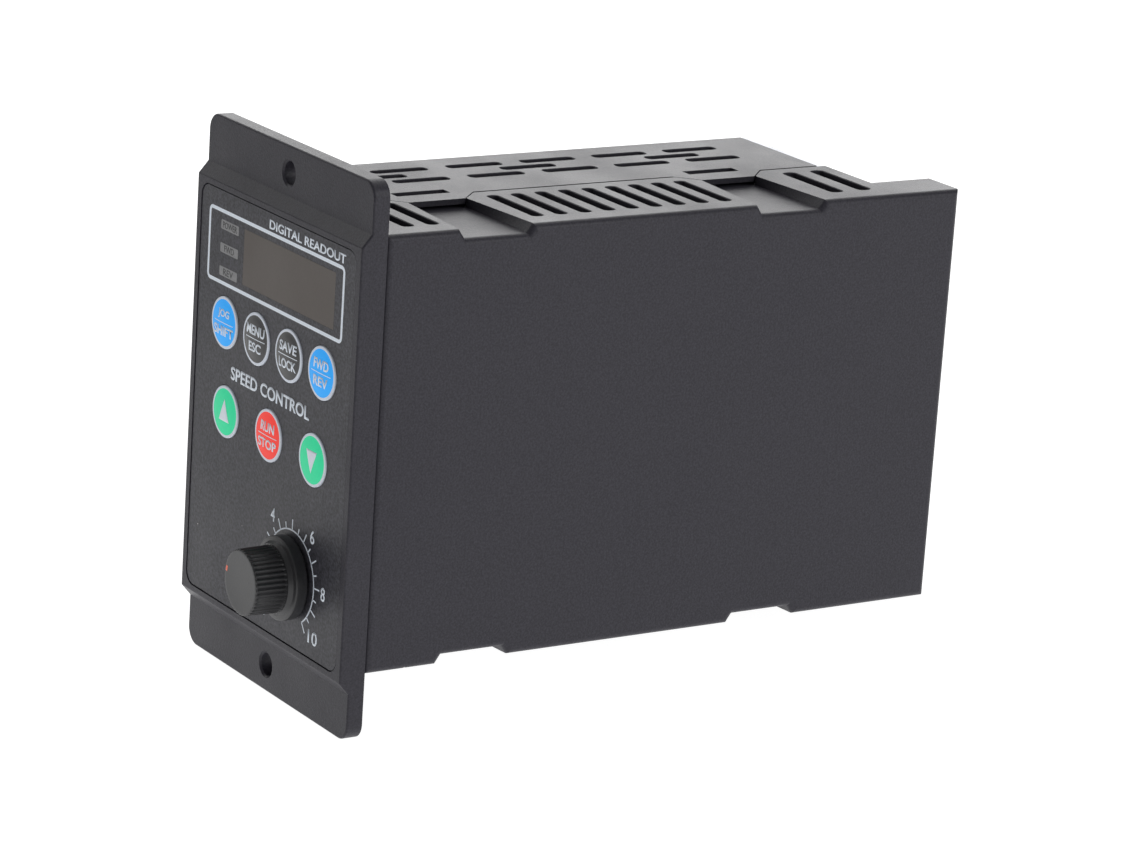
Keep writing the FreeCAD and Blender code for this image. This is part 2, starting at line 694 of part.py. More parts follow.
def potentiometer_bush():
    """Threaded bush that the shaft turns in."""
    tube = rod_y(KNOB_X, KNOB_Z, bush_radius(), BOARD_REAR - BUSH_LENGTH, BOARD_REAR)
    return tube.cut(rod_y(
        KNOB_X, KNOB_Z, SHAFT_DIAMETER / 2 + SHAFT_RUNNING_GAP, BOARD_REAR - BUSH_LENGTH - 1, BOARD_REAR + 1))


def potentiometer_nut():
    """Hexagon nut on the bush, in front of the board."""
    rear = BOARD_FRONT - WASHER_THICKNESS
    reach = NUT_ACROSS_FLATS / math.sqrt(3)
    points = []
    for corner in range(6):
        angle = math.radians(60 * corner)
        points.append((KNOB_X + reach * math.cos(angle), KNOB_Z + reach * math.sin(angle)))
    nut = prism_y(points, rear - NUT_THICKNESS, rear)
    return nut.cut(rod_y(KNOB_X, KNOB_Z, bush_radius(), rear - NUT_THICKNESS - 1, rear + 1))


def potentiometer_washer():
    """Washer between the nut and the board."""
    front = BOARD_FRONT - WASHER_THICKNESS
    ring = rod_y(KNOB_X, KNOB_Z, NUT_ACROSS_FLATS / 2 + 0.8, front, BOARD_FRONT)
    return ring.cut(rod_y(KNOB_X, KNOB_Z, bush_radius(), front - 1, BOARD_FRONT + 1))


def knob_levels():
    """Depths of the knob's rear, skirt front, grip base and face."""
    rear = OVERLAY_FRONT - KNOB_GAP
    skirt = rear - SKIRT_HEIGHT
    grip = skirt - SKIRT_SLOPE_HEIGHT
    return rear, skirt, grip, grip - GRIP_HEIGHT


def shaft_bar(radius, y0, y1):
    """Round bar on the knob's axis with one flat."""
    bar = rod_y(KNOB_X, KNOB_Z, radius, y0, y1)
    flat = box(KNOB_X - 10, KNOB_X + 10, y0 - 1, y1 + 1, KNOB_Z + radius - SHAFT_FLAT, KNOB_Z + 10)
    return bar.cut(flat)


def grip_outline(diameter, y):
    """Toothed outline of the grip at one depth."""
    points = []
    for step in range(2 * GRIP_TEETH):
        radius = diameter / 2 - (step % 2) * GRIP_TOOTH_DEPTH
        angle = math.pi * step / GRIP_TEETH
        points.append(Vector(KNOB_X + radius * math.cos(angle), y, KNOB_Z + radius * math.sin(angle)))
    return Part.makePolygon(points + points[:1])


def pointer_slot():
    """Bar-shaped space for the pointer, along the grip's side."""
    _, _, grip, face = knob_levels()
    reach = GRIP_BASE_DIAMETER / 2 + 1
    slot = box(-POINTER_WIDTH / 2, POINTER_WIDTH / 2, face - 1, grip - 0.2,
               GRIP_TOP_DIAMETER / 2 - POINTER_DEPTH, reach)
    slot.rotate(Vector(0, 0, 0), Vector(0, 1, 0), POINTER_ANGLE)
    slot.translate(Vector(KNOB_X, 0, KNOB_Z))
    return slot


def knob():
    """Skirted knob with a toothed grip and a blind flatted bore."""
    rear, skirt, grip, face = knob_levels()
    skirt_radius = SKIRT_DIAMETER / 2
    base = turned(
        ((0, rear), (skirt_radius - 0.3, rear), (skirt_radius, rear - 0.3), (skirt_radius, skirt + 0.3),
         (skirt_radius - 0.3, skirt), (GRIP_BASE_DIAMETER / 2, grip), (0, grip)), KNOB_X, KNOB_Z)
    handle = Part.makeLoft(
        [grip_outline(GRIP_BASE_DIAMETER, grip + 0.4), grip_outline(GRIP_TOP_DIAMETER, face)], True, True)
    top = GRIP_TOP_DIAMETER / 2
    envelope = turned(
        ((0, rear), (SKIRT_DIAMETER, rear), (SKIRT_DIAMETER, grip), (top + 1.2, face + 3 * GRIP_EDGE),
         (top, face + GRIP_EDGE), (top - GRIP_EDGE, face), (0, face)), KNOB_X, KNOB_Z)
    shape = union([base, handle]).common(envelope)
    shape = shape.cut(shaft_bar(SHAFT_DIAMETER / 2, face + KNOB_CAP, rear + 1))
    return shape.cut(pointer_slot())


def knob_pointer():
    """Coloured bar set in the side of the grip."""
    _, _, grip, face = knob_levels()
    envelope = turned(
        ((0, grip), (GRIP_BASE_DIAMETER / 2 + POINTER_PROUD, grip),
         (GRIP_TOP_DIAMETER / 2 + POINTER_PROUD, face + GRIP_EDGE),
         (GRIP_TOP_DIAMETER / 2 - GRIP_EDGE, face), (0, face)), KNOB_X, KNOB_Z)
    return pointer_slot().common(envelope)


def potentiometer_shaft():
    """Flatted shaft that turns with the knob."""
    rear, _, _, face = knob_levels()
    bare = rear + 0.2
    return union([
        shaft_bar(SHAFT_DIAMETER / 2, face + KNOB_CAP, bare),
        rod_y(KNOB_X, KNOB_Z, SHAFT_DIAMETER / 2, bare, SHAFT_TAIL),
    ])


# Housing.

def tongue_outline(start, gap, floor):
    """Plan of a cover tongue's recess: gap is its play round the tongue, floor tells which level."""
    flare = RECESS_FLOOR_FLARE if floor else RECESS_TOP_FLARE
    level = RECESS_FLOOR if floor else TOP + 0.5
    tip = PARTING + TONGUE_REACH
    end = start + TONGUE_LENGTH
    points = (
        (PARTING - 1, start - TONGUE_REACH - 1 - gap),
        (tip, start - gap),
        (RIGHT + 1, start - flare),
        (RIGHT + 1, end + flare),
        (tip, end + gap),
        (PARTING - 1, end + TONGUE_REACH + 1 + gap),
    )
    corners = [Vector(x, y, level) for x, y in points]
    return Part.makePolygon(corners + corners[:1])


def cover_tongue(start):
    """Tongue of the cover: a plate with sloped flanks that laps over the right shell."""
    end = start + TONGUE_LENGTH
    return prism_z(
        ((PARTING - 1, start - TONGUE_REACH - 1), (PARTING + TONGUE_REACH, start),
         (PARTING + TONGUE_REACH, end), (PARTING - 1, end + TONGUE_REACH + 1)),
        TOP - TONGUE_THICKNESS, TOP)


def latch_window(start):
    """Window in a tongue, where the right shell's hook catches."""
    right = PARTING - LATCH_SETBACK
    return box(right - LATCH_WIDTH, right, start + LATCH_END_GAP, start + TONGUE_LENGTH - LATCH_END_GAP,
               TOP - COVER_THICKNESS - 1, TOP + 1)


def cover_vents():
    """Cutters for the cover's three rows of slots."""
    cutters = []
    middle = COVER_LEFT + COVER_VENT_ROW
    last = COVER_LENGTH - COVER_VENT_END - VENT_LENGTH
    rows = (
        (middle - COVER_VENT_SPREAD, COVER_VENT_START, COVER_VENT_PITCH),
        (middle, MIDDLE_VENT_START, MIDDLE_VENT_PITCH),
        (middle + COVER_VENT_SPREAD, COVER_VENT_START, COVER_VENT_PITCH),
    )
    for x, start, pitch in rows:
        for step in range(int((last - start) / pitch) + 1):
            y = start + step * pitch
            cutters.append(vent(x - VENT_WIDTH / 2, x + VENT_WIDTH / 2, y, y + VENT_LENGTH))
    return cutters


def left_shell():
    """Slotted cover: top and bottom plates joined by a wall against the heatsink."""
    plate = box(COVER_LEFT, PARTING, 0, COVER_LENGTH, TOP - COVER_THICKNESS, TOP)
    plate = union([plate] + [cover_tongue(start) for start in TONGUES])
    edge = [e for e in plate.Edges if is_line_at(e, COVER_LEFT, TOP)]
    plate = plate.makeFillet(COVER_EDGE_RADIUS, edge)
    plate = cut_all(plate, cover_vents() + [latch_window(start) for start in TONGUES])
    wall = box(COVER_LEFT, SHELL_INNER_LEFT, 0, COVER_LENGTH, BOTTOM + 1, TOP - 1)
    margin = WALL_WINDOW_MARGIN
    window = box(
        COVER_LEFT - 1, SHELL_INNER_LEFT + 1, MODULE_FRONT - margin, stage_rear() + margin,
        FAN_Z - MODULE_HEIGHT / 2 - margin, FAN_Z + MODULE_HEIGHT / 2 + margin)
    wall = wall.cut(window)
    bosses = []
    holes = []
    for y, z in power_board_corners():
        bosses.append(rod_x(y, z, POWER_BOSS_DIAMETER / 2, SHELL_INNER_LEFT - 0.5, POWER_BOARD_X))
        holes.append(rod_x(y, z, M25[0] / 2, POWER_BOARD_X - POWER_SCREW_LENGTH, POWER_BOARD_X + 1))
    for y, z in heatsink_screw_places():
        holes.append(rod_x(y, z, M3[0] / 2, COVER_LEFT - 1, SHELL_INNER_LEFT + 1))
    shape = union(both_sides(plate) + [wall] + bosses)
    return cut_all(shape, holes)


def is_line_at(edge, x, z):
    """Whether an edge runs along Y at one place."""
    box_ = edge.BoundBox
    return (abs(box_.XMin - x) < 1e-3 and abs(box_.XMax - x) < 1e-3
            and abs(box_.ZMin - z) < 1e-3 and abs(box_.ZMax - z) < 1e-3)


def pad_vents():
    """Cutters for the slots across the right shell's three pads."""
    x0 = PARTING + PAD_VENT_INSET
    x1 = RIGHT - PAD_VENT_OUTER
    first, second = TONGUES
    places = []
    front = first - FRONT_VENT_FROM_TONGUE
    for step in range(int((front - FRONT_VENT_EDGE) / PAD_VENT_PITCH) + 1):
        places.append((front - step * PAD_VENT_PITCH, VENT_WIDTH))
    middle = first + TONGUE_LENGTH + PAD_VENT_FROM_TONGUE
    for step in range(int((second - VENT_EDGE - middle) / PAD_VENT_PITCH) + 1):
        places.append((middle + step * PAD_VENT_PITCH, VENT_WIDTH))
    rear = second + TONGUE_LENGTH + REAR_VENT_FROM_TONGUE
    for step in range(int((PAD_REAR - VENT_EDGE - rear) / REAR_VENT_PITCH) + 1):
        places.append((rear + step * REAR_VENT_PITCH, REAR_VENT_WIDTH))
    return [vent(x0, x1, y - width / 2, y + width / 2) for y, width in places]


def hook(start):
    """Ledge under a tongue with the wedge that catches in its window."""
    left = PARTING - LEDGE_REACH
    ledge = box(left, PARTING + LEDGE_ROOT, start, start + TONGUE_LENGTH, PAD_BOTTOM, RECESS_FLOOR)
    right = PARTING - LATCH_SETBACK - HOOK_CLEARANCE
    tip = right - LATCH_WIDTH + 2 * HOOK_CLEARANCE
    wedge = prism_y(
        ((tip, RECESS_FLOOR - 0.5), (right, RECESS_FLOOR - 0.5), (right, TOP - 0.4),
         (tip, RECESS_FLOOR + 0.3)),
        start + 4 * HOOK_CLEARANCE, start + TONGUE_LENGTH - 4 * HOOK_CLEARANCE)
    return [ledge, wedge]


def shell_post(z, y0, y1):
    """Screw post in a corner of the right shell, joined to its wall and its pad."""
    radius = POST_DIAMETER / 2
    away = 1 if z > HOUSING_OFFSET else -1
    edge = TOP if away > 0 else BOTTOM
    low = min(z, edge - away * 3)
    high = max(z, edge - away * 3)
    return [rod_y(POST_X, z, radius, y0, y1),
            box(POST_X, INNER_RIGHT + 0.5, y0, y1, z - 1, z + 1),
            box(POST_X - 1, POST_X + 1, y0, y1, low, high)]


def is_shell_rim(edge):
    """Whether an edge is part of the stepped line where the right wall meets the top or the underside."""
    box_ = edge.BoundBox
    nearest = min(abs(box_.ZMin - HOUSING_OFFSET), abs(box_.ZMax - HOUSING_OFFSET))
    return box_.XMin > RIGHT - 1e-3 and nearest > RECESS_FLOOR - HOUSING_OFFSET - 1e-3


def right_shell():
    """Shell with the right wall, the stepped vent pads and the rails that guard the terminals."""
    outer = box(PARTING + PARTING_GAP, RIGHT, 0, HOUSING_DEPTH, BOTTOM, TOP)
    recesses = []
    for start in TONGUES:
        levels = [tongue_outline(start, TONGUE_GAP, True), tongue_outline(start, TONGUE_GAP, False)]
        recesses += both_sides(Part.makeLoft(levels, True, True))
    outer = cut_all(outer, recesses)
    outer = outer.makeFillet(SHELL_EDGE_RADIUS, [edge for edge in outer.Edges if is_shell_rim(edge)])
    hollow = box(PARTING - 1, INNER_RIGHT, -1, PAD_REAR, BOTTOM + TOP - PAD_BOTTOM, PAD_BOTTOM)
    behind = box(PARTING - 1, RIGHT - RAIL_WIDTH, PAD_REAR, HOUSING_DEPTH + 1, BOTTOM - 1, TOP + 1)
    bay = box(RIGHT - RAIL_WIDTH - 1, INNER_RIGHT, PAD_REAR - 1, HOUSING_DEPTH + 1,
              BOTTOM + SHELL_WALL, TOP - SHELL_WALL)
    shape = cut_all(outer, [hollow, behind, bay])
    extras = []
    for start in TONGUES:
        for piece in hook(start):
            extras += both_sides(piece)
    for z in (POST_Z, POST_Z_LOW):
        extras += shell_post(z, 0, POST_LENGTH)
        extras += shell_post(z, COVER_LENGTH - POST_LENGTH, COVER_LENGTH)
    shape = union([shape] + extras)
    cutters = []
    for cutter in pad_vents():
        cutters += both_sides(cutter)
    for z in (POST_Z, POST_Z_LOW):
        cutters.append(rod_y(POST_X, z, M3[0] / 2, -1, POST_LENGTH - 4))
        cutters.append(rod_y(POST_X, z, M3[0] / 2, COVER_LENGTH - POST_LENGTH + 4, COVER_LENGTH + 1))
    return cut_all(shape, cutters)


def heatsink():
    """Extruded heatsink: a thick base with upright fins along the drive's left side."""
    tip = LEFT + HEATSINK_SIDE_GAP
    room = COVER_LENGTH - FIN_THICKNESS
    gaps = int(room / FIN_PITCH)
    pitch = room / gaps
    points = [(COVER_LEFT, COVER_LENGTH), (COVER_LEFT, 0)]
    for step in range(gaps + 1):
        y = step * pitch
        points += [(tip, y), (tip, y + FIN_THICKNESS)]
        if step < gaps:
            points += [(BASE_LEFT, y + FIN_THICKNESS), (BASE_LEFT, y + pitch)]
    shape = prism_z(points, HEATSINK_BOTTOM, HEATSINK_TOP)
    holes = [rod_x(y, z, M3[0] / 2, BASE_LEFT + 0.5, COVER_LEFT + 1) for y, z in heatsink_screw_places()]
    holes += [rod_x(y, z, M3[0] / 2, BASE_LEFT + 0.5, COVER_LEFT + 1) for y, z in module_screw_places()]
    for z in (POST_Z, POST_Z_LOW):
        holes.append(rod_y(BASE_MIDDLE, z, M3[0] / 2, -1, POST_LENGTH - 4))
        holes.append(rod_y(BASE_MIDDLE, z, M3[0] / 2, COVER_LENGTH - POST_LENGTH + 4, COVER_LENGTH + 1))
    return cut_all(shape, holes)


def heatsink_screw_places():
    """Where screws hold the left shell to the heatsink, as (y, z)."""
    depths = (HEATSINK_SCREW_INSET, COVER_LENGTH - HEATSINK_SCREW_INSET)
    heights = (HEATSINK_BOTTOM + HEATSINK_SCREW_RISE, HEATSINK_TOP - HEATSINK_SCREW_RISE)
    return [(y, z) for y in depths for z in heights]


def heatsink_screws():
    """Four screws from inside the left shell into the heatsink."""
    return [screw(M3, COVER_THICKNESS + 4, Vector(SHELL_INNER_LEFT, y, z), Vector(-1, 0, 0))
            for y, z in heatsink_screw_places()]


# Power stage.

def stage_rear():
    """Rear end of the parts that sit on the heatsink."""
    return MODULE_FRONT + MODULE_LENGTH + MODULE_SPACING + BRIDGE_LENGTH


def stage_block(y0, length, height, thickness):
    """Package on the thermal film."""
    x = COVER_LEFT + PAD_FILM
    return box(x, x + thickness, y0, y0 + length, FAN_Z - height / 2, FAN_Z + height / 2)


def module_screw_places():
    """Screw holes at the power module's two ends, as (y, z)."""
    return [(MODULE_FRONT + MODULE_EAR, FAN_Z), (MODULE_FRONT + MODULE_LENGTH - MODULE_EAR, FAN_Z)]


def thermal_pad():
    """Thin film between the packages and the heatsink."""
    film = box(COVER_LEFT, COVER_LEFT + PAD_FILM, MODULE_FRONT, stage_rear(),
               FAN_Z - MODULE_HEIGHT / 2, FAN_Z + MODULE_HEIGHT / 2)
    holes = [rod_x(y, z, M3[0] / 2, COVER_LEFT - 1, COVER_LEFT + 2) for y, z in module_screw_places()]
    return cut_all(film, holes)


def package_legs(y0, length, height, thickness, count):
    """Two rows of legs from a package to the power board."""
    x = COVER_LEFT + PAD_FILM + thickness
    legs = []
    for step in range(count):
        y = y0 + length * (step + 0.5) / count
        for z in (FAN_Z - height / 2 + 1.5, FAN_Z + height / 2 - 1.5):
            legs.append(box(x - 0.5, POWER_BOARD_X, y - 0.4, y + 0.4, z - 0.3, z + 0.3))
    return legs


def module_seat():
    """Where the heads of the power module's screws bear."""
    return COVER_LEFT + PAD_FILM + MODULE_EAR_THICKNESS


def igbt_module():
    """Power module with its legs."""
    block = stage_block(MODULE_FRONT, MODULE_LENGTH, MODULE_HEIGHT, MODULE_THICKNESS)
    tools = []
    for y, z in module_screw_places():
        tools.append(rod_x(y, z, M3[0] / 2, COVER_LEFT, POWER_BOARD_X))
        tools.append(rod_x(y, z, M3[1] / 2 + 0.3, module_seat(), POWER_BOARD_X))
    legs = package_legs(MODULE_FRONT, MODULE_LENGTH, MODULE_HEIGHT, MODULE_THICKNESS, MODULE_LEGS)
    return union([cut_all(block, tools)] + legs)


def igbt_screws():
    """Two screws that clamp the power module."""
    return [screw(M3, MODULE_SCREW_LENGTH, Vector(module_seat(), y, z), Vector(-1, 0, 0))
            for y, z in module_screw_places()]


def rectifier_bridge():
    """Bridge rectifier with its legs."""
    y0 = MODULE_FRONT + MODULE_LENGTH + MODULE_SPACING
    block = stage_block(y0, BRIDGE_LENGTH, BRIDGE_HEIGHT, BRIDGE_THICKNESS)
    return union([block] + package_legs(y0, BRIDGE_LENGTH, BRIDGE_HEIGHT, BRIDGE_THICKNESS, 2))


def power_board_corners():
    """Mounting points of the power board, as (y, z)."""
    y0 = POWER_BOARD_FRONT + POWER_BOARD_INSET
    y1 = POWER_BOARD_REAR - POWER_BOARD_INSET
    heights = (POWER_BOARD_BOTTOM + POWER_BOARD_INSET, POWER_BOARD_TOP - POWER_BOARD_INSET)
    return [(y, z) for y in (y0, y1) for z in heights]


def power_board():
    """Upright board beside the heatsink."""
    board = box(POWER_BOARD_X, POWER_BOARD_FACE, POWER_BOARD_FRONT, POWER_BOARD_REAR,
                POWER_BOARD_BOTTOM, POWER_BOARD_TOP)
    return cut_all(board, [rod_x(y, z, M25[0] / 2, POWER_BOARD_X - 1, POWER_BOARD_FACE + 1)
                           for y, z in power_board_corners()])


def power_board_screws():
    """Four screws that hold the power board to the left shell's bosses."""
    return [screw(M25, POWER_SCREW_LENGTH, Vector(POWER_BOARD_FACE, y, z), Vector(-1, 0, 0))
            for y, z in power_board_corners()]


def board_connector():
    """Header that joins the control board to the power board."""
    return box(
        POWER_BOARD_FACE, POWER_BOARD_FACE + CONNECTOR_THICKNESS,
        BOARD_REAR, POWER_BOARD_FRONT + CONNECTOR_LAP,
        HOUSING_OFFSET - CONNECTOR_DROP - CONNECTOR_LENGTH, HOUSING_OFFSET - CONNECTOR_DROP)


def bulk_capacitors():
    """Two large capacitors on the power board, with crimped ends."""
    cans = []
    radius = CAPACITOR_DIAMETER / 2
    for step in (0, 1):
        y = POWER_BOARD_FRONT + CAPACITOR_INSET + radius + step * (CAPACITOR_DIAMETER + CAPACITOR_SPACE)
        z = POWER_BOARD_BOTTOM + CAPACITOR_RISE + radius
        can = rod_x(y, z, radius, POWER_BOARD_FACE, INNER_RIGHT - TALL_PART_CLEARANCE)
        crimp = Part.makeTorus(radius + 0.5, 1.2, Vector(POWER_BOARD_FACE + 4, y, z), Vector(1, 0, 0))
        cans.append(can.cut(crimp))
    return cans


def transformer_corner():
    """Lower front corner of the transformer's core, above the capacitors, as (x, y, z)."""
    x = POWER_BOARD_FACE + WINDING_FOOT
    y = POWER_BOARD_REAR - 2 * POWER_BOARD_INSET - TRANSFORMER_SIZE
    z = POWER_BOARD_BOTTOM + CAPACITOR_RISE + CAPACITOR_DIAMETER + TRANSFORMER_SPACE
    return x, y, z


def core_window(side, x0, x1, y, z):
    """One of the core's two openings: side 0 is the front one, side 1 the rear one."""
    limb = TRANSFORMER_LIMB
    width = (TRANSFORMER_SIZE - 2 * limb - 1.5 * limb) / 2
    start = y + limb if side == 0 else y + TRANSFORMER_SIZE - limb - width
    return box(x0, x1, start, start + width, z + limb, z + TRANSFORMER_SIZE - limb)


def transformer_core():
    """Ferrite core of the supply transformer: a closed frame with its middle leg."""
    x, y, z = transformer_corner()
    frame = box(x, x + TRANSFORMER_THICKNESS, y, y + TRANSFORMER_SIZE, z, z + TRANSFORMER_SIZE)
    return cut_all(frame, [core_window(side, x - 1, x + TRANSFORMER_THICKNESS + 1, y, z) for side in (0, 1)])


def transformer_bobbin():
    """Wound bobbin round the core's middle leg, with its foot on the board."""
    x, y, z = transformer_corner()
    inset = TRANSFORMER_LIMB + WINDING_GAP
    winding = box(
        POWER_BOARD_FACE, x + TRANSFORMER_THICKNESS + WINDING_PROUD, y + inset, y + TRANSFORMER_SIZE - inset,
        z + inset, z + TRANSFORMER_SIZE - inset)
    return winding.cut(transformer_core())


def relay():
    """Sealed relay above the transformer, level with its rear."""
    _, y, z = transformer_corner()
    thickness, length, height = RELAY_SIZE
    bottom = z + TRANSFORMER_SIZE + RELAY_SPACE
    rear = y + TRANSFORMER_SIZE
    return box(POWER_BOARD_FACE, POWER_BOARD_FACE + thickness, rear - length, rear, bottom, bottom + height)


def emi_choke():
    """Ring choke standing on the power board."""
    centre = Vector(
        POWER_BOARD_FACE + CHOKE_WIRE_RADIUS, POWER_BOARD_FRONT + CHOKE_INSET, POWER_BOARD_TOP - CHOKE_DROP)
    return Part.makeTorus(CHOKE_RADIUS, CHOKE_WIRE_RADIUS, centre, Vector(1, 0, 0))


def film_capacitors():
    """Two box capacitors on the power board."""
    thickness, length, height = FILM_CAPACITOR_SIZE
    top = POWER_BOARD_TOP - FILM_CAPACITOR_DROP
    shapes = []
    for inset in FILM_CAPACITOR_INSETS:
        y = POWER_BOARD_FRONT + inset
        shapes.append(box(POWER_BOARD_FACE, POWER_BOARD_FACE + thickness, y, y + length, top - height, top))
    return shapes


def fuse_line():
    """Axis and ends of the fuse: x, z, start and end along Y."""
    start = POWER_BOARD_FRONT + FUSE_INSET
    return POWER_BOARD_FACE + FUSE_LIFT, POWER_BOARD_TOP - FUSE_DROP, start, start + FUSE_LENGTH


def input_fuse():
    """Cartridge fuse along Y."""
    x, z, y0, y1 = fuse_line()
    return rod_y(x, z, FUSE_RADIUS, y0, y1)


def fuse_clips():
    """Two spring clips that hold the fuse."""
    x, z, y0, y1 = fuse_line()
    half = FUSE_RADIUS + CLIP_WALL
    clips = []
    for start in (y0, y1 - CLIP_LENGTH):
        end = start + CLIP_LENGTH
        block = box(POWER_BOARD_FACE, x + 2, start, end, z - half, z + half)
        mouth = box(x - 1, x + 3, start - 1, end + 1, z - FUSE_RADIUS, z + FUSE_RADIUS)
        clips.append(cut_all(block, [rod_y(x, z, FUSE_RADIUS, start - 1, end + 1), mouth]))
    return clips


# Rear.

def rear_plate():
    """Stamped metal plate with the fan's grille, the terminal slot and the earth hole."""
    gap = REAR_PLATE_EDGE_GAP
    left = BASE_LEFT + gap
    step = COVER_LEFT
    side = PARTING
    right = INNER_RIGHT - gap
    high = TOP - gap
    mid = HEATSINK_TOP - gap
    inner = PAD_BOTTOM - gap
    upper = [(left, mid), (step, mid), (step, high), (side, high), (side, inner), (right, inner)]
    lower = [(x, 2 * HOUSING_OFFSET - z) for x, z in reversed(upper)]
    plate = prism_y(upper + lower, COVER_LENGTH, REAR_PLATE_REAR)
    y0 = COVER_LENGTH - 1
    y1 = REAR_PLATE_REAR + 1
    tools = [rod_y(x, z, M3[0] / 2 + 0.1, y0, y1) for x, z in rear_screw_places() + fan_screw_places()]
    tools.append(rod_y(EARTH_X, EARTH_Z, M4[0] / 2, y0, y1))
    tools.append(box(TERMINAL_X - TERMINAL_SLOT / 2, TERMINAL_X + TERMINAL_SLOT / 2, y0, y1,
                     TERMINAL_Z - TERMINAL_HALF + 1, TERMINAL_Z + TERMINAL_HALF - 1))
    for side in (-1, 1):
        tools.append(rod_y(TERMINAL_X, terminal_ear_z(side), M3[0] / 2, y0, y1))
    radius = GRILLE_BAND + 1
    while radius + GRILLE_BAND < FAN_BORE_DIAMETER / 2:
        ring = rod_y(FAN_X, FAN_Z, radius + GRILLE_BAND, y0, y1)
        ring = ring.cut(rod_y(FAN_X, FAN_Z, radius, y0 - 1, y1 + 1))
        spokes = []
        for turn in (45, 135):
            spoke = box(-FAN_SIZE, FAN_SIZE, y0 - 1, y1 + 1, -GRILLE_BAR, GRILLE_BAR)
            spoke.rotate(Vector(0, 0, 0), Vector(0, 1, 0), turn)
            spoke.translate(Vector(FAN_X, 0, FAN_Z))
            spokes.append(spoke)
        tools.append(cut_all(ring, spokes))
        radius += GRILLE_BAND + GRILLE_BAR
    return cut_all(plate, tools)


def rear_screw_places():
    """Where screws hold the rear plate, as (x, z)."""
    return [(x, z) for x in (BASE_MIDDLE, POST_X) for z in (POST_Z, POST_Z_LOW)]


def fan_screw_places():
    """Corners of the fan's hole pattern, as (x, z)."""
    half = FAN_HOLE_SPACING / 2
    return [(FAN_X + a * half, FAN_Z + b * half) for a in (-1, 1) for b in (-1, 1)]


def rear_plate_screws():
    """Four screws into the heatsink and the right shell."""
    return [screw(M3, POST_LENGTH - 4, Vector(x, REAR_PLATE_REAR, z), Vector(0, -1, 0))
            for x, z in rear_screw_places()]


def fan_screws():
    """Four screws that hang the fan on the rear plate."""
    return [screw(M3, FAN_THICKNESS, Vector(x, REAR_PLATE_REAR, z), Vector(0, -1, 0))
            for x, z in fan_screw_places()]


def fan_frame():
    """Square fan case with its motor seat on three struts."""
    half = FAN_SIZE / 2
    case = upright_slab(
        FAN_X - half, FAN_X + half, FAN_Z - half, FAN_Z + half, FAN_CORNER_RADIUS, FAN_FRONT, COVER_LENGTH)
    case = case.cut(rod_y(FAN_X, FAN_Z, FAN_BORE_DIAMETER / 2, FAN_FRONT - 1, COVER_LENGTH + 1))
    seat_front = COVER_LENGTH - FAN_SEAT_THICKNESS
    parts = [case, rod_y(FAN_X, FAN_Z, FAN_HUB_DIAMETER / 2, seat_front, COVER_LENGTH)]
    for turn in (90, 210, 330):
        strut = box(0, FAN_BORE_DIAMETER / 2 + 0.5, seat_front, COVER_LENGTH, -1.2, 1.2)
        strut.rotate(Vector(0, 0, 0), Vector(0, 1, 0), turn)
        strut.translate(Vector(FAN_X, 0, FAN_Z))
        parts.append(strut)
    holes = [rod_y(x, z, M3[0] / 2, FAN_FRONT - 1, COVER_LENGTH + 1) for x, z in fan_screw_places()]
    bearing = FAN_AXLE_DIAMETER / 2 + SHAFT_RUNNING_GAP + FAN_BEARING_WALL
    holes.append(rod_y(FAN_X, FAN_Z, bearing, seat_front - 1, COVER_LENGTH + 1))
    return cut_all(union(parts), holes)


def fan_bearing():
    """Sleeve bearing pressed into the fan's motor seat."""
    inner = FAN_AXLE_DIAMETER / 2 + SHAFT_RUNNING_GAP
    tube = rod_y(FAN_X, FAN_Z, inner + FAN_BEARING_WALL, COVER_LENGTH - FAN_SEAT_THICKNESS, COVER_LENGTH)
    return tube.cut(rod_y(FAN_X, FAN_Z, inner, FAN_FRONT, COVER_LENGTH + 1))


def fan_rotor():
    """Hub with swept blades and the axle that turns in the bearing."""
    front = FAN_FRONT + FAN_ROTOR_SETBACK
    rear = COVER_LENGTH - FAN_SEAT_THICKNESS - FAN_SEAT_GAP
    tip = FAN_BORE_DIAMETER / 2 - FAN_TIP_GAP
    hub = rod_y(FAN_X, FAN_Z, FAN_HUB_DIAMETER / 2, front, rear)
    rim = [edge for edge in hub.Edges if abs(edge.BoundBox.YMax - front) < 1e-3]
    hub = hub.makeFillet(FAN_HUB_EDGE, rim)
    middle = (front + rear) / 2
    chord = 0.5 * (rear - front) / math.cos(math.radians(FAN_BLADE_ANGLE)) - 0.4
    reach = Part.makeCylinder(tip, rear - front, Vector(0, front, 0), Vector(0, 1, 0))
    pieces = [hub, rod_y(FAN_X, FAN_Z, FAN_AXLE_DIAMETER / 2, rear - 1, COVER_LENGTH - 0.3)]
    for step in range(FAN_BLADES):
        blade = box(FAN_HUB_DIAMETER / 2 - 1, tip + 2, -chord, chord, -FAN_BLADE / 2, FAN_BLADE / 2)
        blade.rotate(Vector(0, 0, 0), Vector(1, 0, 0), FAN_BLADE_ANGLE)
        blade.translate(Vector(0, middle, 0))
        blade = blade.common(reach)
        blade.rotate(Vector(0, 0, 0), Vector(0, 1, 0), 360 * step / FAN_BLADES)
        blade.translate(Vector(FAN_X, 0, FAN_Z))
        pieces.append(blade)
    return union(pieces)


def pole_z(step):
    """Centre height of one pole of the terminal strip."""
    return TERMINAL_Z + (step - (TERMINAL_POLES - 1) / 2) * TERMINAL_PITCH


def terminal_ear_z(side):
    """Centre height of a mounting ear's hole."""
    return TERMINAL_Z + side * (TERMINAL_HALF + TERMINAL_EAR / 2)


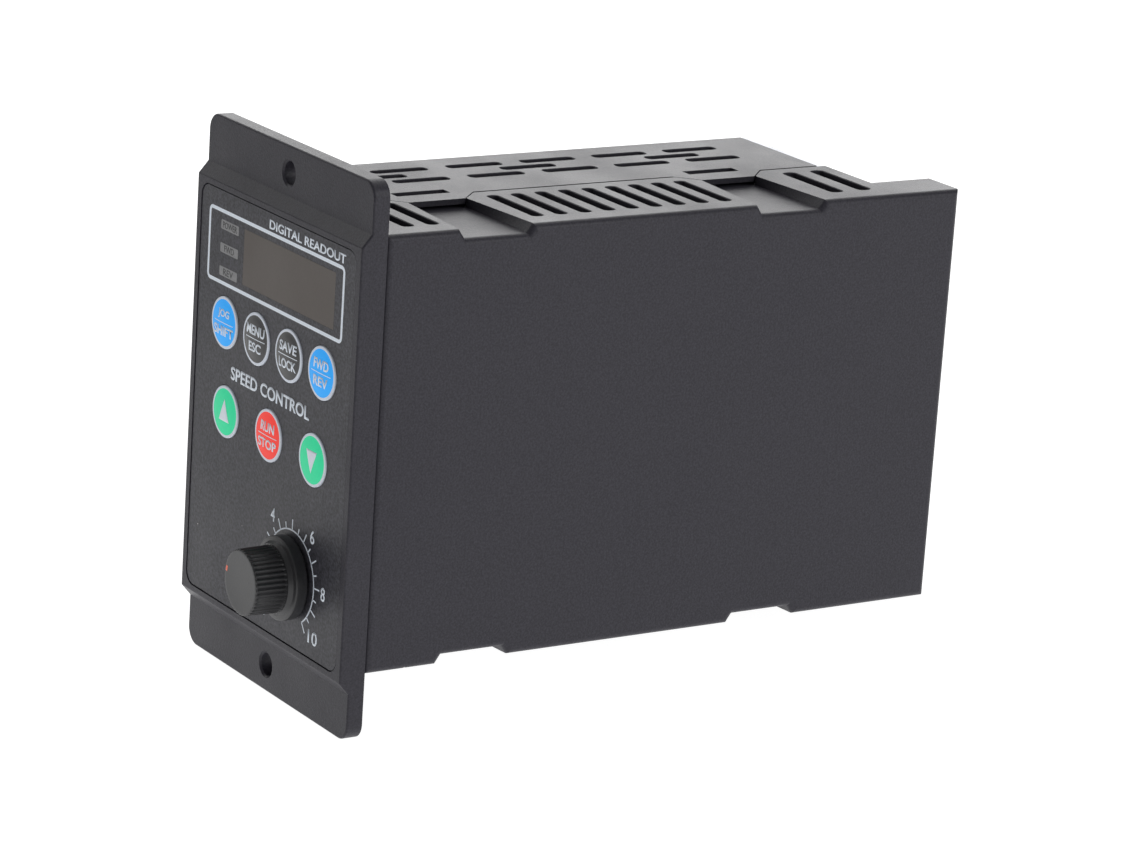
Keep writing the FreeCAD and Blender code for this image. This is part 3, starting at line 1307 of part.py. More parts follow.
def terminal_block():
    """Barrier strip: a base with an ear at each end, and a fin on both sides of every pole."""
    y0 = REAR_PLATE_REAR
    tip = HOUSING_DEPTH + TERMINAL_PROUD
    low = TERMINAL_Z - TERMINAL_HALF
    high = TERMINAL_Z + TERMINAL_HALF
    parts = [box(TERMINAL_LEFT, TERMINAL_RIGHT, y0, TERMINAL_DECK, low, high),
             box(TERMINAL_LEFT + 1, TERMINAL_RIGHT, y0, y0 + TERMINAL_EAR_THICKNESS,
                 low - TERMINAL_EAR, high + TERMINAL_EAR),
             box(TERMINAL_RIGHT - TERMINAL_FIN, TERMINAL_RIGHT, y0, TERMINAL_DECK + 3, low, high)]
    for step in range(TERMINAL_POLES + 1):
        z = low + step * TERMINAL_PITCH
        outline = rounded_outline(
            TERMINAL_LEFT, TERMINAL_RIGHT, y0 + 1, tip, FIN_CORNER_RADIUS, lambda a, b: Vector(a, b, z))
        parts.append(Part.Face(outline).extrude(Vector(0, 0, TERMINAL_FIN)))
    shape = union(parts)
    tools = [rod_y(TERMINAL_X, terminal_ear_z(side), M3[0] / 2, y0 - 1, y0 + 10) for side in (-1, 1)]
    for step in range(TERMINAL_POLES):
        z = pole_z(step)
        tools.append(rod_y(TERMINAL_X - 1, z, TERMINAL_SCREW_DIAMETER / 2, y0 + 0.5, TERMINAL_DECK + 1))
        tools.append(contact_tail(z))
    return cut_all(shape, tools)


def contact_tail(z):
    """Strip that carries one pole through the base to the terminal board."""
    return box(TERMINAL_X + 1.6, TERMINAL_X + 2.4, TERMINAL_BOARD_REAR, TERMINAL_DECK + 0.5, z - 1.2, z + 1.2)


def terminal_contacts():
    """Six plated contacts on the deck, each with its tail."""
    shapes = []
    half = (TERMINAL_PITCH - TERMINAL_FIN) / 2 - CONTACT_GAP
    for step in range(TERMINAL_POLES):
        z = pole_z(step)
        plate = box(TERMINAL_LEFT + 1, TERMINAL_RIGHT - TERMINAL_FIN - 0.3, TERMINAL_DECK,
                    TERMINAL_DECK + CONTACT_THICKNESS, z - half, z + half)
        hole = rod_y(TERMINAL_X - 1, z, TERMINAL_SCREW_DIAMETER / 2, TERMINAL_DECK - 1, TERMINAL_DECK + 5)
        shapes.append(union([plate.cut(hole), contact_tail(z)]))
    return shapes


def terminal_clamps():
    """Six square clamp washers under the screw heads."""
    shapes = []
    y = TERMINAL_DECK + CONTACT_THICKNESS
    half = (TERMINAL_PITCH - TERMINAL_FIN) / 2 - CLAMP_GAP
    for step in range(TERMINAL_POLES):
        z = pole_z(step)
        plate = box(TERMINAL_X - 1 - half, TERMINAL_X - 1 + half, y, y + CLAMP_THICKNESS, z - half, z + half)
        hole = rod_y(TERMINAL_X - 1, z, TERMINAL_SCREW_DIAMETER / 2, y - 1, y + 5)
        shapes.append(plate.cut(hole))
    return shapes


def terminal_screws():
    """Six clamp screws."""
    seat = TERMINAL_DECK + CONTACT_THICKNESS + CLAMP_THICKNESS
    size = (TERMINAL_SCREW_DIAMETER, TERMINAL_HEAD_DIAMETER, TERMINAL_HEAD_HEIGHT)
    length = seat - REAR_PLATE_REAR - 0.5
    return [screw(size, length, Vector(TERMINAL_X - 1, seat, pole_z(step)), Vector(0, -1, 0))
            for step in range(TERMINAL_POLES)]


def terminal_block_screws():
    """Two screws through the strip's ears into the rear plate."""
    y = REAR_PLATE_REAR + TERMINAL_EAR_THICKNESS
    length = TERMINAL_EAR_THICKNESS + REAR_PLATE_THICKNESS
    return [screw(M3, length, Vector(TERMINAL_X, y, terminal_ear_z(side)), Vector(0, -1, 0))
            for side in (-1, 1)]


def terminal_board():
    """Narrow board that the contacts' tails are soldered to."""
    half = TERMINAL_HALF + TERMINAL_BOARD_MARGIN
    return box(TERMINAL_LEFT - 1, TERMINAL_RIGHT - 0.4, TERMINAL_BOARD_REAR - BOARD_THICKNESS,
               TERMINAL_BOARD_REAR, TERMINAL_Z - half, TERMINAL_Z + half)


def earth_screw():
    """Earth screw on the rear plate."""
    seat = REAR_PLATE_REAR + EARTH_WASHER_THICKNESS
    return screw(M4, EARTH_SCREW_LENGTH, Vector(EARTH_X, seat, EARTH_Z), Vector(0, -1, 0))


def earth_washer():
    """Washer under the earth screw."""
    seat = REAR_PLATE_REAR + EARTH_WASHER_THICKNESS
    ring = rod_y(EARTH_X, EARTH_Z, EARTH_WASHER_DIAMETER / 2, REAR_PLATE_REAR, seat)
    return ring.cut(rod_y(EARTH_X, EARTH_Z, M4[0] / 2, REAR_PLATE_REAR - 1, seat + 1))


SUB_PARTS = (
    front_bezel, keypad_overlay, display_window, indicator_lenses, key_domes, control_board, board_screws,
    bezel_screws, control_chips, led_display, indicator_leds, potentiometer_body, potentiometer_bush,
    potentiometer_nut, potentiometer_washer, knob, knob_pointer, potentiometer_shaft, left_shell, right_shell,
    heatsink, heatsink_screws, thermal_pad, igbt_module, igbt_screws, rectifier_bridge, power_board,
    power_board_screws, board_connector, bulk_capacitors, transformer_core, transformer_bobbin, relay,
    emi_choke, film_capacitors, input_fuse, fuse_clips, rear_plate, rear_plate_screws, fan_screws, fan_frame,
    fan_bearing, fan_rotor, terminal_block, terminal_contacts, terminal_clamps, terminal_screws,
    terminal_block_screws, terminal_board, earth_screw, earth_washer,
)


def write(name, shape):
    """Write one node: a solid, or a group of like solids."""
    solids = shape if isinstance(shape, list) else [shape]
    pieces = []
    for solid in solids:
        pieces += solid.Solids
    for piece in pieces:
        if not piece.isValid():
            raise ValueError(name + " has an invalid solid")
    whole = pieces[0] if len(pieces) == 1 else Part.makeCompound(pieces)
    whole.exportStep("parts/" + name + ".step")
    print(name, len(pieces), round(whole.Volume, 1))


os.makedirs("parts", exist_ok=True)
for maker in SUB_PARTS:
    write(maker.__name__, maker())
for key_name, key_x, key_z in KEYS:
    write(key_name, key(key_x, key_z))
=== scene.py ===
import math

import bmesh
import bpy
import numpy as np
from mathutils import Matrix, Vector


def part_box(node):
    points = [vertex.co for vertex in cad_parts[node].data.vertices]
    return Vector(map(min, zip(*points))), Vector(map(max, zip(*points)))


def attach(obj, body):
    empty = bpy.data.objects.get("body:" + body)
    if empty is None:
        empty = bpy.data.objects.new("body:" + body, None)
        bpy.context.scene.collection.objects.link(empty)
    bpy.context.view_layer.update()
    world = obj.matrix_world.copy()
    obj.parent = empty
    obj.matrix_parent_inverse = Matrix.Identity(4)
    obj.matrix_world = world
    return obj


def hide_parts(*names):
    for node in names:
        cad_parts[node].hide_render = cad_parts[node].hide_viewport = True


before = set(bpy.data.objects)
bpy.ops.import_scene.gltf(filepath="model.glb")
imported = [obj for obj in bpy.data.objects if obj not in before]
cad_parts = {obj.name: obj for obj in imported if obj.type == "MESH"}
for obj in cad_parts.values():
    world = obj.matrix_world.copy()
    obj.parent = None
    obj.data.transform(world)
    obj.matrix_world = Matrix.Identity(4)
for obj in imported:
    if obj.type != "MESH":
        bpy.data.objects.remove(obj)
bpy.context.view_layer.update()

MM = 0.001


# Heatsink. An aluminium extrusion with upright fins, sawn to length and left bare,
# so it shows drawing lines along the fins and a duller, slightly stained surface.

def shader_group(name, inputs, outputs):
    """New shader group with float inputs (label and value) and float outputs.

    Returns the group, its input node and its output node."""
    group = bpy.data.node_groups.new(name, "ShaderNodeTree")
    for label, value in inputs:
        socket = group.interface.new_socket(label, in_out="INPUT", socket_type="NodeSocketFloat")
        socket.default_value = value
    for label in outputs:
        group.interface.new_socket(label, in_out="OUTPUT", socket_type="NodeSocketFloat")
    return group, group.nodes.new("NodeGroupInput"), group.nodes.new("NodeGroupOutput")


def add_node(tree, kind, **settings):
    """Node of one kind, with attributes set by name and sockets by their names with underscores."""
    node = tree.nodes.new(kind)
    for key, value in settings.items():
        if hasattr(node, key):
            setattr(node, key, value)
        else:
            node.inputs[key.replace("_", " ")].default_value = value
    return node


def arithmetic(tree, operation, first, second):
    """Math node between two sockets or numbers; returns its output."""
    node = tree.nodes.new("ShaderNodeMath")
    node.operation = operation
    for socket, value in zip(node.inputs, (first, second)):
        if isinstance(value, (int, float)):
            socket.default_value = value
        else:
            tree.links.new(value, socket)
    return node.outputs[0]


def drawn_lines_group():
    """Fine parallel lines left by a die or a brush.

    They are noise squeezed along two axes and stretched along the third."""
    group, start, end = shader_group(
        "drawn_lines", (("X Scale", 900.0), ("Y Scale", 900.0), ("Z Scale", 20.0)), ("Height", "Stain"))
    place = add_node(group, "ShaderNodeTexCoord")
    scale = add_node(group, "ShaderNodeCombineXYZ")
    for axis in "XYZ":
        group.links.new(start.outputs[axis + " Scale"], scale.inputs[axis])
    stretch = add_node(group, "ShaderNodeVectorMath", operation="MULTIPLY")
    group.links.new(place.outputs["Object"], stretch.inputs[0])
    group.links.new(scale.outputs[0], stretch.inputs[1])
    lines = add_node(group, "ShaderNodeTexNoise", Scale=1.0, Detail=3.0, Roughness=0.6)
    group.links.new(stretch.outputs[0], lines.inputs["Vector"])
    stain = add_node(group, "ShaderNodeTexNoise", Scale=45.0, Detail=4.0, Roughness=0.55)
    group.links.new(place.outputs["Object"], stain.inputs["Vector"])
    group.links.new(lines.outputs["Fac"], end.inputs["Height"])
    group.links.new(stain.outputs["Fac"], end.inputs["Stain"])
    return group


DRAWN_LINES = drawn_lines_group()


def blend_colours(tree, mask, first, second):
    """Mix of two colours (each a socket or a plain colour) by a mask; returns its output."""
    node = tree.nodes.new("ShaderNodeMix")
    node.data_type = "RGBA"
    tree.links.new(mask, node.inputs["Factor"])
    for label, colour in (("A", first), ("B", second)):
        socket = [s for s in node.inputs if s.name == label and s.type == "RGBA"][0]
        if isinstance(colour, tuple):
            socket.default_value = (*colour, 1.0)
        else:
            tree.links.new(colour, socket)
    return [s for s in node.outputs if s.type == "RGBA"][0]


def spread(tree, value, low, high, out_low, out_high):
    """Clamped range change of a value; returns its output."""
    node = add_node(
        tree, "ShaderNodeMapRange", From_Min=low, From_Max=high, To_Min=out_low, To_Max=out_high)
    tree.links.new(value, node.inputs["Value"])
    return node.outputs["Result"]


def add_bump(tree, shader, height, depth):
    """Bump from a height between 0 and 1 that stands for a depth in metres."""
    bump = add_node(tree, "ShaderNodeBump", Strength=1.0, Distance=depth)
    tree.links.new(height, bump.inputs["Height"])
    tree.links.new(bump.outputs["Normal"], shader.inputs["Normal"])


def bare_metal(name, bright, dull, roughness, line_scale, depth):
    """Metal with drawn lines: its colour and roughness wander between two values with the stain."""
    material = bpy.data.materials.new(name)
    material.use_nodes = True
    tree = material.node_tree
    shader = tree.nodes["Principled BSDF"]
    shader.inputs["Metallic"].default_value = 1.0
    lines = add_node(tree, "ShaderNodeGroup", node_tree=DRAWN_LINES)
    for axis, scale in zip("XYZ", line_scale):
        lines.inputs[axis + " Scale"].default_value = scale
    stain = spread(tree, lines.outputs["Stain"], 0.35, 0.7, 0.0, 1.0)
    tree.links.new(blend_colours(tree, stain, bright, dull), shader.inputs["Base Color"])
    tree.links.new(
        spread(tree, lines.outputs["Stain"], 0.3, 0.7, roughness - 0.06, roughness + 0.08),
        shader.inputs["Roughness"])
    add_bump(tree, shader, lines.outputs["Height"], depth)
    return material


def finish_node(names, material):
    """Gives CAD nodes their finished material."""
    for name in names:
        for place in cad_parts[name].material_slots:
            place.material = material


ALUMINIUM = bare_metal(
    "bare_extruded_aluminium", (0.65, 0.66, 0.67), (0.55, 0.56, 0.58), 0.36, (700.0, 700.0, 9.0), 0.00004)
finish_node(["heatsink"], ALUMINIUM)


# Moulded shells, and the bezel that goes on later: charcoal ABS from spark-eroded moulds.
# The surface is an even fine grain with a faint sheen, and a few specks of dust sit on it.

def grain_group():
    """Spark-eroded grain (Height), slow patches of wear in the sheen (Patch) and sparse dust specks (Dust).

    Dust is where the distance to a cell's point is under a small radius, in the few cells that are dusty."""
    group, start, end = shader_group(
        "moulded_grain",
        (("Grain Scale", 1900.0), ("Dust Scale", 190.0), ("Dust Size", 0.03), ("Dusty Share", 0.12)),
        ("Height", "Patch", "Dust"))
    place = add_node(group, "ShaderNodeTexCoord")
    fine = add_node(group, "ShaderNodeTexNoise", Detail=3.0, Roughness=0.6)
    patch = add_node(group, "ShaderNodeTexNoise", Scale=38.0, Detail=4.0, Roughness=0.6)
    cells = add_node(group, "ShaderNodeTexVoronoi")
    for node in (fine, patch, cells):
        group.links.new(place.outputs["Object"], node.inputs["Vector"])
    group.links.new(start.outputs["Grain Scale"], fine.inputs["Scale"])
    group.links.new(start.outputs["Dust Scale"], cells.inputs["Scale"])
    lottery = add_node(group, "ShaderNodeSeparateColor")
    group.links.new(cells.outputs["Color"], lottery.inputs[0])
    dusty = arithmetic(group, "LESS_THAN", lottery.outputs[0], start.outputs["Dusty Share"])
    size = arithmetic(group, "MULTIPLY", start.outputs["Dust Size"], lottery.outputs[1])
    near = arithmetic(group, "LESS_THAN", cells.outputs["Distance"], size)
    group.links.new(fine.outputs["Fac"], end.inputs["Height"])
    group.links.new(patch.outputs["Fac"], end.inputs["Patch"])
    group.links.new(arithmetic(group, "MULTIPLY", dusty, near), end.inputs["Dust"])
    return group


GRAIN = grain_group()


def moulded(name, colour, roughness, grain, depth, dust=0.03, lighter=1.35, specular=0.5):
    """Moulded plastic: grain in the bump and faintly in the colour, patches in the roughness, dust on top."""
    material = bpy.data.materials.new(name)
    material.use_nodes = True
    tree = material.node_tree
    shader = tree.nodes["Principled BSDF"]
    shader.inputs["Specular IOR Level"].default_value = specular
    surface = add_node(tree, "ShaderNodeGroup", node_tree=GRAIN)
    surface.inputs["Grain Scale"].default_value = grain
    surface.inputs["Dust Size"].default_value = dust
    light = tuple(min(1.0, lighter * part) for part in colour)
    grainy = blend_colours(tree, spread(tree, surface.outputs["Height"], 0.35, 0.7, 0.0, 1.0), colour, light)
    dusty = blend_colours(tree, surface.outputs["Dust"], grainy, (0.55, 0.54, 0.52))
    tree.links.new(dusty, shader.inputs["Base Color"])
    tree.links.new(
        spread(tree, surface.outputs["Patch"], 0.3, 0.7, roughness - 0.05, roughness + 0.05),
        shader.inputs["Roughness"])
    add_bump(tree, shader, surface.outputs["Height"], depth)
    return material


CHARCOAL = moulded("charcoal_moulding", (0.0262, 0.025, 0.032), 0.42, 2100.0, 0.00007, 0.055, 1.65, 0.24)
finish_node(["left_shell", "right_shell"], CHARCOAL)


# Boards and the parts on them, seen only through the air slots: green laminate,
# epoxy packages, sleeved capacitors, taped windings and tinned brass.

def lacquered_board():
    """Solder mask over laminate: grained green under a glossy clear coat."""
    material = moulded("solder_mask", (0.012, 0.09, 0.035), 0.28, 900.0, 0.00002, 0.0)
    material.node_tree.nodes["Principled BSDF"].inputs["Coat Weight"].default_value = 0.4
    return material


finish_node(["control_board", "power_board", "terminal_board"], lacquered_board())
finish_node(
    ["control_chips", "igbt_module", "rectifier_bridge", "emi_choke", "transformer_core"],
    moulded("epoxy_package", (0.018, 0.018, 0.019), 0.5, 2600.0, 0.00003))
finish_node(
    ["bulk_capacitors"], moulded("capacitor_sleeve", (0.012, 0.016, 0.035), 0.22, 500.0, 0.00002, 0.0))
finish_node(["film_capacitors", "relay"], moulded("relay_case", (0.03, 0.075, 0.24), 0.3, 1500.0, 0.00002))
finish_node(["transformer_bobbin"], moulded("winding_tape", (0.62, 0.44, 0.05), 0.33, 700.0, 0.00005))
finish_node(["thermal_pad"], moulded("thermal_film", (0.6, 0.6, 0.62), 0.6, 1200.0, 0.00002))
finish_node(
    ["board_connector", "potentiometer_body"],
    moulded("component_case", (0.03, 0.03, 0.033), 0.45, 2200.0, 0.00002))
finish_node(["input_fuse"], moulded("fuse_ceramic", (0.62, 0.6, 0.55), 0.25, 800.0, 0.00001))
TINNED = bare_metal("tinned_brass", (0.72, 0.69, 0.6), (0.55, 0.5, 0.4), 0.3, (600.0, 600.0, 600.0), 0.00002)
finish_node(
    ["fuse_clips", "potentiometer_bush", "potentiometer_nut", "potentiometer_washer", "potentiometer_shaft",
     "fan_bearing", "terminal_contacts"], TINNED)


# Fan. A square case with a seven-bladed rotor on a sleeve bearing, all in black
# glass-filled nylon, which is duller and coarser than the shells.

NYLON = moulded("fan_nylon", (0.014, 0.014, 0.015), 0.5, 1300.0, 0.00004)
finish_node(["fan_frame", "fan_rotor"], NYLON)


# Rear plate. Zinc-plated sheet steel, stamped with the fan's grille and the
# terminal slot; the rolling direction runs across the drive.

SHEET = bare_metal("plated_sheet", (0.43, 0.44, 0.47), (0.37, 0.38, 0.41), 0.4, (12.0, 500.0, 650.0), 0.00003)
finish_node(["rear_plate"], SHEET)


# Screws, washers, clamps and the keys' snap domes. Zinc-plated steel with a fine
# even grain and a slightly bluish passivated tint.

ZINC = bare_metal(
    "zinc_plating", (0.62, 0.64, 0.66), (0.42, 0.43, 0.44), 0.27, (420.0, 420.0, 420.0), 0.00003)
finish_node(
    ["heatsink_screws", "rear_plate_screws", "fan_screws", "igbt_screws", "power_board_screws",
     "board_screws", "bezel_screws", "terminal_screws", "terminal_clamps", "terminal_block_screws",
     "earth_screw", "earth_washer", "key_domes"], ZINC)


# Terminal strip. Black thermoset with a barrier between the poles, and the poles'
# marks printed in black on the plate beside it.

finish_node(["terminal_block"], moulded("terminal_moulding", (0.014, 0.014, 0.014), 0.38, 1500.0, 0.00003))


def printed(name, colour):
    """Screen-printed ink: nearly even colour, with a faint grain and slow patches in its sheen."""
    return moulded(name, colour, 0.42, 2400.0, 0.00001, 0.0, 1.08)


WHITE_INK = printed("white_ink", (0.74, 0.8, 0.88))


def keep_mesh(name, mesh, material, body):
    """Object for a finished mesh at the origin, riding on a body and taking its finish from a slot."""
    piece = bpy.data.objects.new(name, mesh)
    bpy.context.scene.collection.objects.link(piece)
    if material is not None:
        mesh.materials.append(material)
    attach(piece, body)
    return piece


def lettering_mesh(name, text, width, height, bold=0.0):
    """Outline letters as a flat mesh, scaled to a width and a height in metres about their middle.

    Returns the mesh and its points as (across, up) columns."""
    curve = bpy.data.curves.new(name, "FONT")
    curve.body = text
    curve.offset = bold
    curve.resolution_u = 5
    holder = bpy.data.objects.new(name + "_outline", curve)
    bpy.context.scene.collection.objects.link(holder)
    mesh = bpy.data.meshes.new_from_object(holder.evaluated_get(bpy.context.evaluated_depsgraph_get()))
    bpy.data.objects.remove(holder)
    points = np.empty(3 * len(mesh.vertices))
    mesh.vertices.foreach_get("co", points)
    flat = points.reshape(-1, 3)[:, :2]
    low, high = flat.min(axis=0), flat.max(axis=0)
    scale = (height / (high[1] - low[1])) if width is None else np.array((width, height)) / (high - low)
    return mesh, (flat - (low + high) / 2) * scale


INK_THICKNESS = 0.03 * MM


def thicken(piece):
    """Gives a flat print its small thickness, outwards from the surface that it lies on."""
    solid = piece.modifiers.new("thickness", "SOLIDIFY")
    solid.thickness = INK_THICKNESS
    solid.offset = 1.0


def print_words(name, text, centre, width, height, depth, material, body, bold=0.0, face=-1):
    """Words printed on an upright face: depth is a number or a function of the points' place.

    face is -1 where the print is read from the front and 1 where it is read from the rear."""
    mesh, flat = lettering_mesh(name, text, width, height, bold)
    across = centre[0] - face * flat[:, 0]
    up = centre[1] + flat[:, 1]
    along = depth(across, up) if callable(depth) else np.full(len(flat), depth)
    mesh.vertices.foreach_set("co", np.stack((across, along, up), axis=1).ravel())
    mesh.update()
    thicken(keep_mesh(name, mesh, material, body))


PLATE_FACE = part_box("rear_plate")[1][1]
BLOCK_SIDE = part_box("terminal_block")[0][0]
contact_low, contact_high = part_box("terminal_contacts")
POLE_MARKS = ("W", "V", "U", "N", "L", "E")
POLE_INSET = 3.6 * MM
MARK_GAP = 2.2 * MM
MARK_HEIGHT = 2.6 * MM
MARK_LIFT = 0.01 * MM
MARK_BOLD = 0.01
MARK_INK = printed("black_mark_ink", (0.02, 0.02, 0.02))
pole_pitch = (contact_high[2] - contact_low[2] - 2 * POLE_INSET) / (len(POLE_MARKS) - 1)
for step, mark in enumerate(POLE_MARKS):
    pole_height = contact_low[2] + POLE_INSET + step * pole_pitch
    print_words(
        "pole_mark_" + mark, mark, (BLOCK_SIDE - MARK_GAP, pole_height), None, MARK_HEIGHT,
        PLATE_FACE + MARK_LIFT, MARK_INK, "drive", bold=MARK_BOLD, face=1)


# Bezel. The same charcoal moulding as the shells, with a flange tab and a bolt
# hole at each end, and a recess that takes the overlay.

finish_node(["front_bezel"], CHARCOAL)


# Overlay. A thin polyester film, printed dark grey from behind with a fine satin
# texture on its face; white outlines and words are printed with it.

FILM = moulded("overlay_film", (0.019, 0.0188, 0.023), 0.46, 1500.0, 0.00006, 0.035, 3.4, 0.32)
finish_node(["keypad_overlay"], FILM)
FILM_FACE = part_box("keypad_overlay")[0][1]
PRINT_LIFT = 0.005 * MM
PRINT_FACE = FILM_FACE - PRINT_LIFT


def grid_mesh(name, points, wrap_columns=False):
    """Mesh over a grid of points (rows, columns, 3); wrapping joins the last column to the first."""
    rows, columns = points.shape[:2]
    row = np.arange(rows - 1)[:, None] * columns
    column = np.arange(columns if wrap_columns else columns - 1)[None, :]
    below, beside = row + columns, (column + 1) % columns
    corners = (row + column, row + beside, below + beside, below + column)
    faces = np.stack(corners, axis=-1).reshape(-1, 4)
    mesh = bpy.data.meshes.new(name)
    mesh.from_pydata(points.reshape(-1, 3), [], faces.tolist())
    mesh.update()
    return mesh


def rounded_loop(width, height, radius, per_corner=12):
    """Outline of a round-cornered rectangle as (across, up) points: each corner is a quarter circle."""
    quarter = np.linspace(0.0, math.pi / 2, per_corner)
    corners = []
    for turn, (side, rise) in enumerate(((1, 1), (-1, 1), (-1, -1), (1, -1))):
        angle = quarter + turn * math.pi / 2
        corners.append(np.stack((
            side * (width / 2 - radius) + radius * np.cos(angle),
            rise * (height / 2 - radius) + radius * np.sin(angle)), axis=1))
    return np.concatenate(corners)


def print_band(name, inner, outer, centre, material, body, closed=True, depth=None):
    """Flat band of ink between two outlines of equal length, given as (across, up) points about a centre."""
    loops = np.stack((inner, outer)) + np.array(centre)
    if depth is None:
        along = np.full(loops.shape[:2], PRINT_FACE)
    else:
        along = depth(loops[..., 0], loops[..., 1])
    points = np.stack((loops[..., 0], along, loops[..., 1]), axis=-1)
    thicken(keep_mesh(name, grid_mesh(name, points, wrap_columns=closed), material, body))


window_low, window_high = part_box("display_window")
lens_low, lens_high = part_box("indicator_lenses")
FRAME_LINE = 0.85 * MM
MARGIN_LEFT, MARGIN_RIGHT = 5.8 * MM, 4.0 * MM
MARGIN_BELOW, MARGIN_ABOVE = 2.3 * MM, 2.2 * MM
INNER_CORNER, OUTER_CORNER = 0.6 * MM, 1.6 * MM
DISPLAY_WORDS_ACROSS = 13.75 * MM
DISPLAY_WORDS_RISE = 1.65 * MM
DISPLAY_WORDS_WIDTH, DISPLAY_WORDS_HEIGHT = 34.5 * MM, 2.15 * MM
TITLE_PLACE = (-0.05 * MM, 7.15 * MM)
TITLE_WIDTH, TITLE_HEIGHT = 36.7 * MM, 3.15 * MM
frame_left, frame_right = lens_low[0] - MARGIN_LEFT, window_high[0] + MARGIN_RIGHT
frame_low, frame_high = window_low[2] - MARGIN_BELOW, window_high[2] + MARGIN_ABOVE
frame_size = (frame_right - frame_left, frame_high - frame_low)
frame_centre = ((frame_left + frame_right) / 2, (frame_low + frame_high) / 2)
print_band(
    "display_outline",
    rounded_loop(frame_size[0] - 2 * FRAME_LINE, frame_size[1] - 2 * FRAME_LINE, INNER_CORNER),
    rounded_loop(frame_size[0], frame_size[1], OUTER_CORNER),
    frame_centre, WHITE_INK, "drive")
print_words(
    "display_words", "DIGITAL READOUT", (DISPLAY_WORDS_ACROSS, frame_high + DISPLAY_WORDS_RISE),
    DISPLAY_WORDS_WIDTH, DISPLAY_WORDS_HEIGHT, PRINT_FACE, WHITE_INK, "drive", bold=0.022)
print_words(
    "title_words", "SPEED CONTROL", TITLE_PLACE, TITLE_WIDTH, TITLE_HEIGHT, PRINT_FACE,
    WHITE_INK, "drive", bold=0.026)


# Display window and indicator lenses. The window is smoked brown acrylic with a
# satin face; the lenses are grey, with the lamp's word printed dark on each.

finish_node(
    ["display_window"], moulded("smoked_window", (0.076, 0.062, 0.053), 0.5, 2200.0, 0.00001, 0.02, 1.1))
finish_node(
    ["led_display", "indicator_leds"], moulded("lamp_epoxy", (0.05, 0.045, 0.04), 0.35, 1800.0, 0.00001))
finish_node(
    ["indicator_lenses"], moulded("smoked_lens", (0.21, 0.21, 0.215), 0.5, 1600.0, 0.00001, 0.0, 1.25))
DARK_INK = printed("dark_ink", (0.015, 0.015, 0.017))
lens_middle = (lens_low[0] + lens_high[0]) / 2
LENS_HEIGHT = 2.2 * MM
LAMP_WORD_HEIGHT = 1.5 * MM
LAMP_WORDS = (("REV", 4.6 * MM), ("FWD", 4.6 * MM), ("POWER", 6.6 * MM))
lens_pitch = (lens_high[2] - lens_low[2] - LENS_HEIGHT) / 2
for step, (word, width) in enumerate(LAMP_WORDS):
    print_words(
        "lamp_word_" + word, word, (lens_middle, lens_low[2] + LENS_HEIGHT / 2 + step * lens_pitch),
        width, LAMP_WORD_HEIGHT, PRINT_FACE, DARK_INK, "drive")


# Keys. Each is one moulding with a white rim and a coloured face; its legend is
# printed on the face, which is slightly domed. The two black keys are glossy.

KEY_SIDES = 96


def turned_mesh(name, centre, radii, depths):
    """Surface turned about a line along Y: each row of the grid is a circle of one radius at one depth."""
    angle = np.arange(KEY_SIDES) * 2 * math.pi / KEY_SIDES
    radii, depths = np.asarray(radii)[:, None], np.asarray(depths)[:, None]
    points = np.stack((
        centre[0] + radii * np.cos(angle), depths + 0 * angle, centre[1] + radii * np.sin(angle)), axis=-1)
    return grid_mesh(name, points, wrap_columns=True)


def close_and_smooth(mesh, sharp_degrees=38.0):
    """Joins a mesh's doubled points, points its faces outwards and smooths it.

    Edges that turn by more than the angle stay sharp."""
    shape = bmesh.new()
    shape.from_mesh(mesh)
    bmesh.ops.remove_doubles(shape, verts=shape.verts, dist=1e-7)
    bmesh.ops.recalc_face_normals(shape, faces=shape.faces)
    shape.to_mesh(mesh)
    shape.free()
    mesh.polygons.foreach_set("use_smooth", np.ones(len(mesh.polygons), dtype=bool))
    mesh.set_sharp_from_angle(angle=math.radians(sharp_degrees))


KEY_RADIUS = 6.1 * MM
KEY_RIM = 0.68 * MM
KEY_EDGE = 0.22 * MM
KEY_PROUD = 0.3 * MM
KEY_BULGE = 0.26 * MM
KEY_STEM_RADIUS = 1.6 * MM
KEY_FOOT = 0.7 * MM
KEY_FLANGE_THICKNESS = 0.5 * MM


def key_face_depth(radius):
    """Depth of a key's face at a radius: flat on the rim, then a shallow cap.

    The cap follows 1 - (r / R)^2, eased in over its outer part so that it leaves the rim without a step."""
    inner = KEY_RADIUS - KEY_RIM
    share = np.clip(radius / inner, 0.0, 1.0)
    return FILM_FACE - KEY_PROUD - KEY_BULGE * (1 - share ** 2) * np.clip(4 * (1 - share), 0, 1) ** 0.5


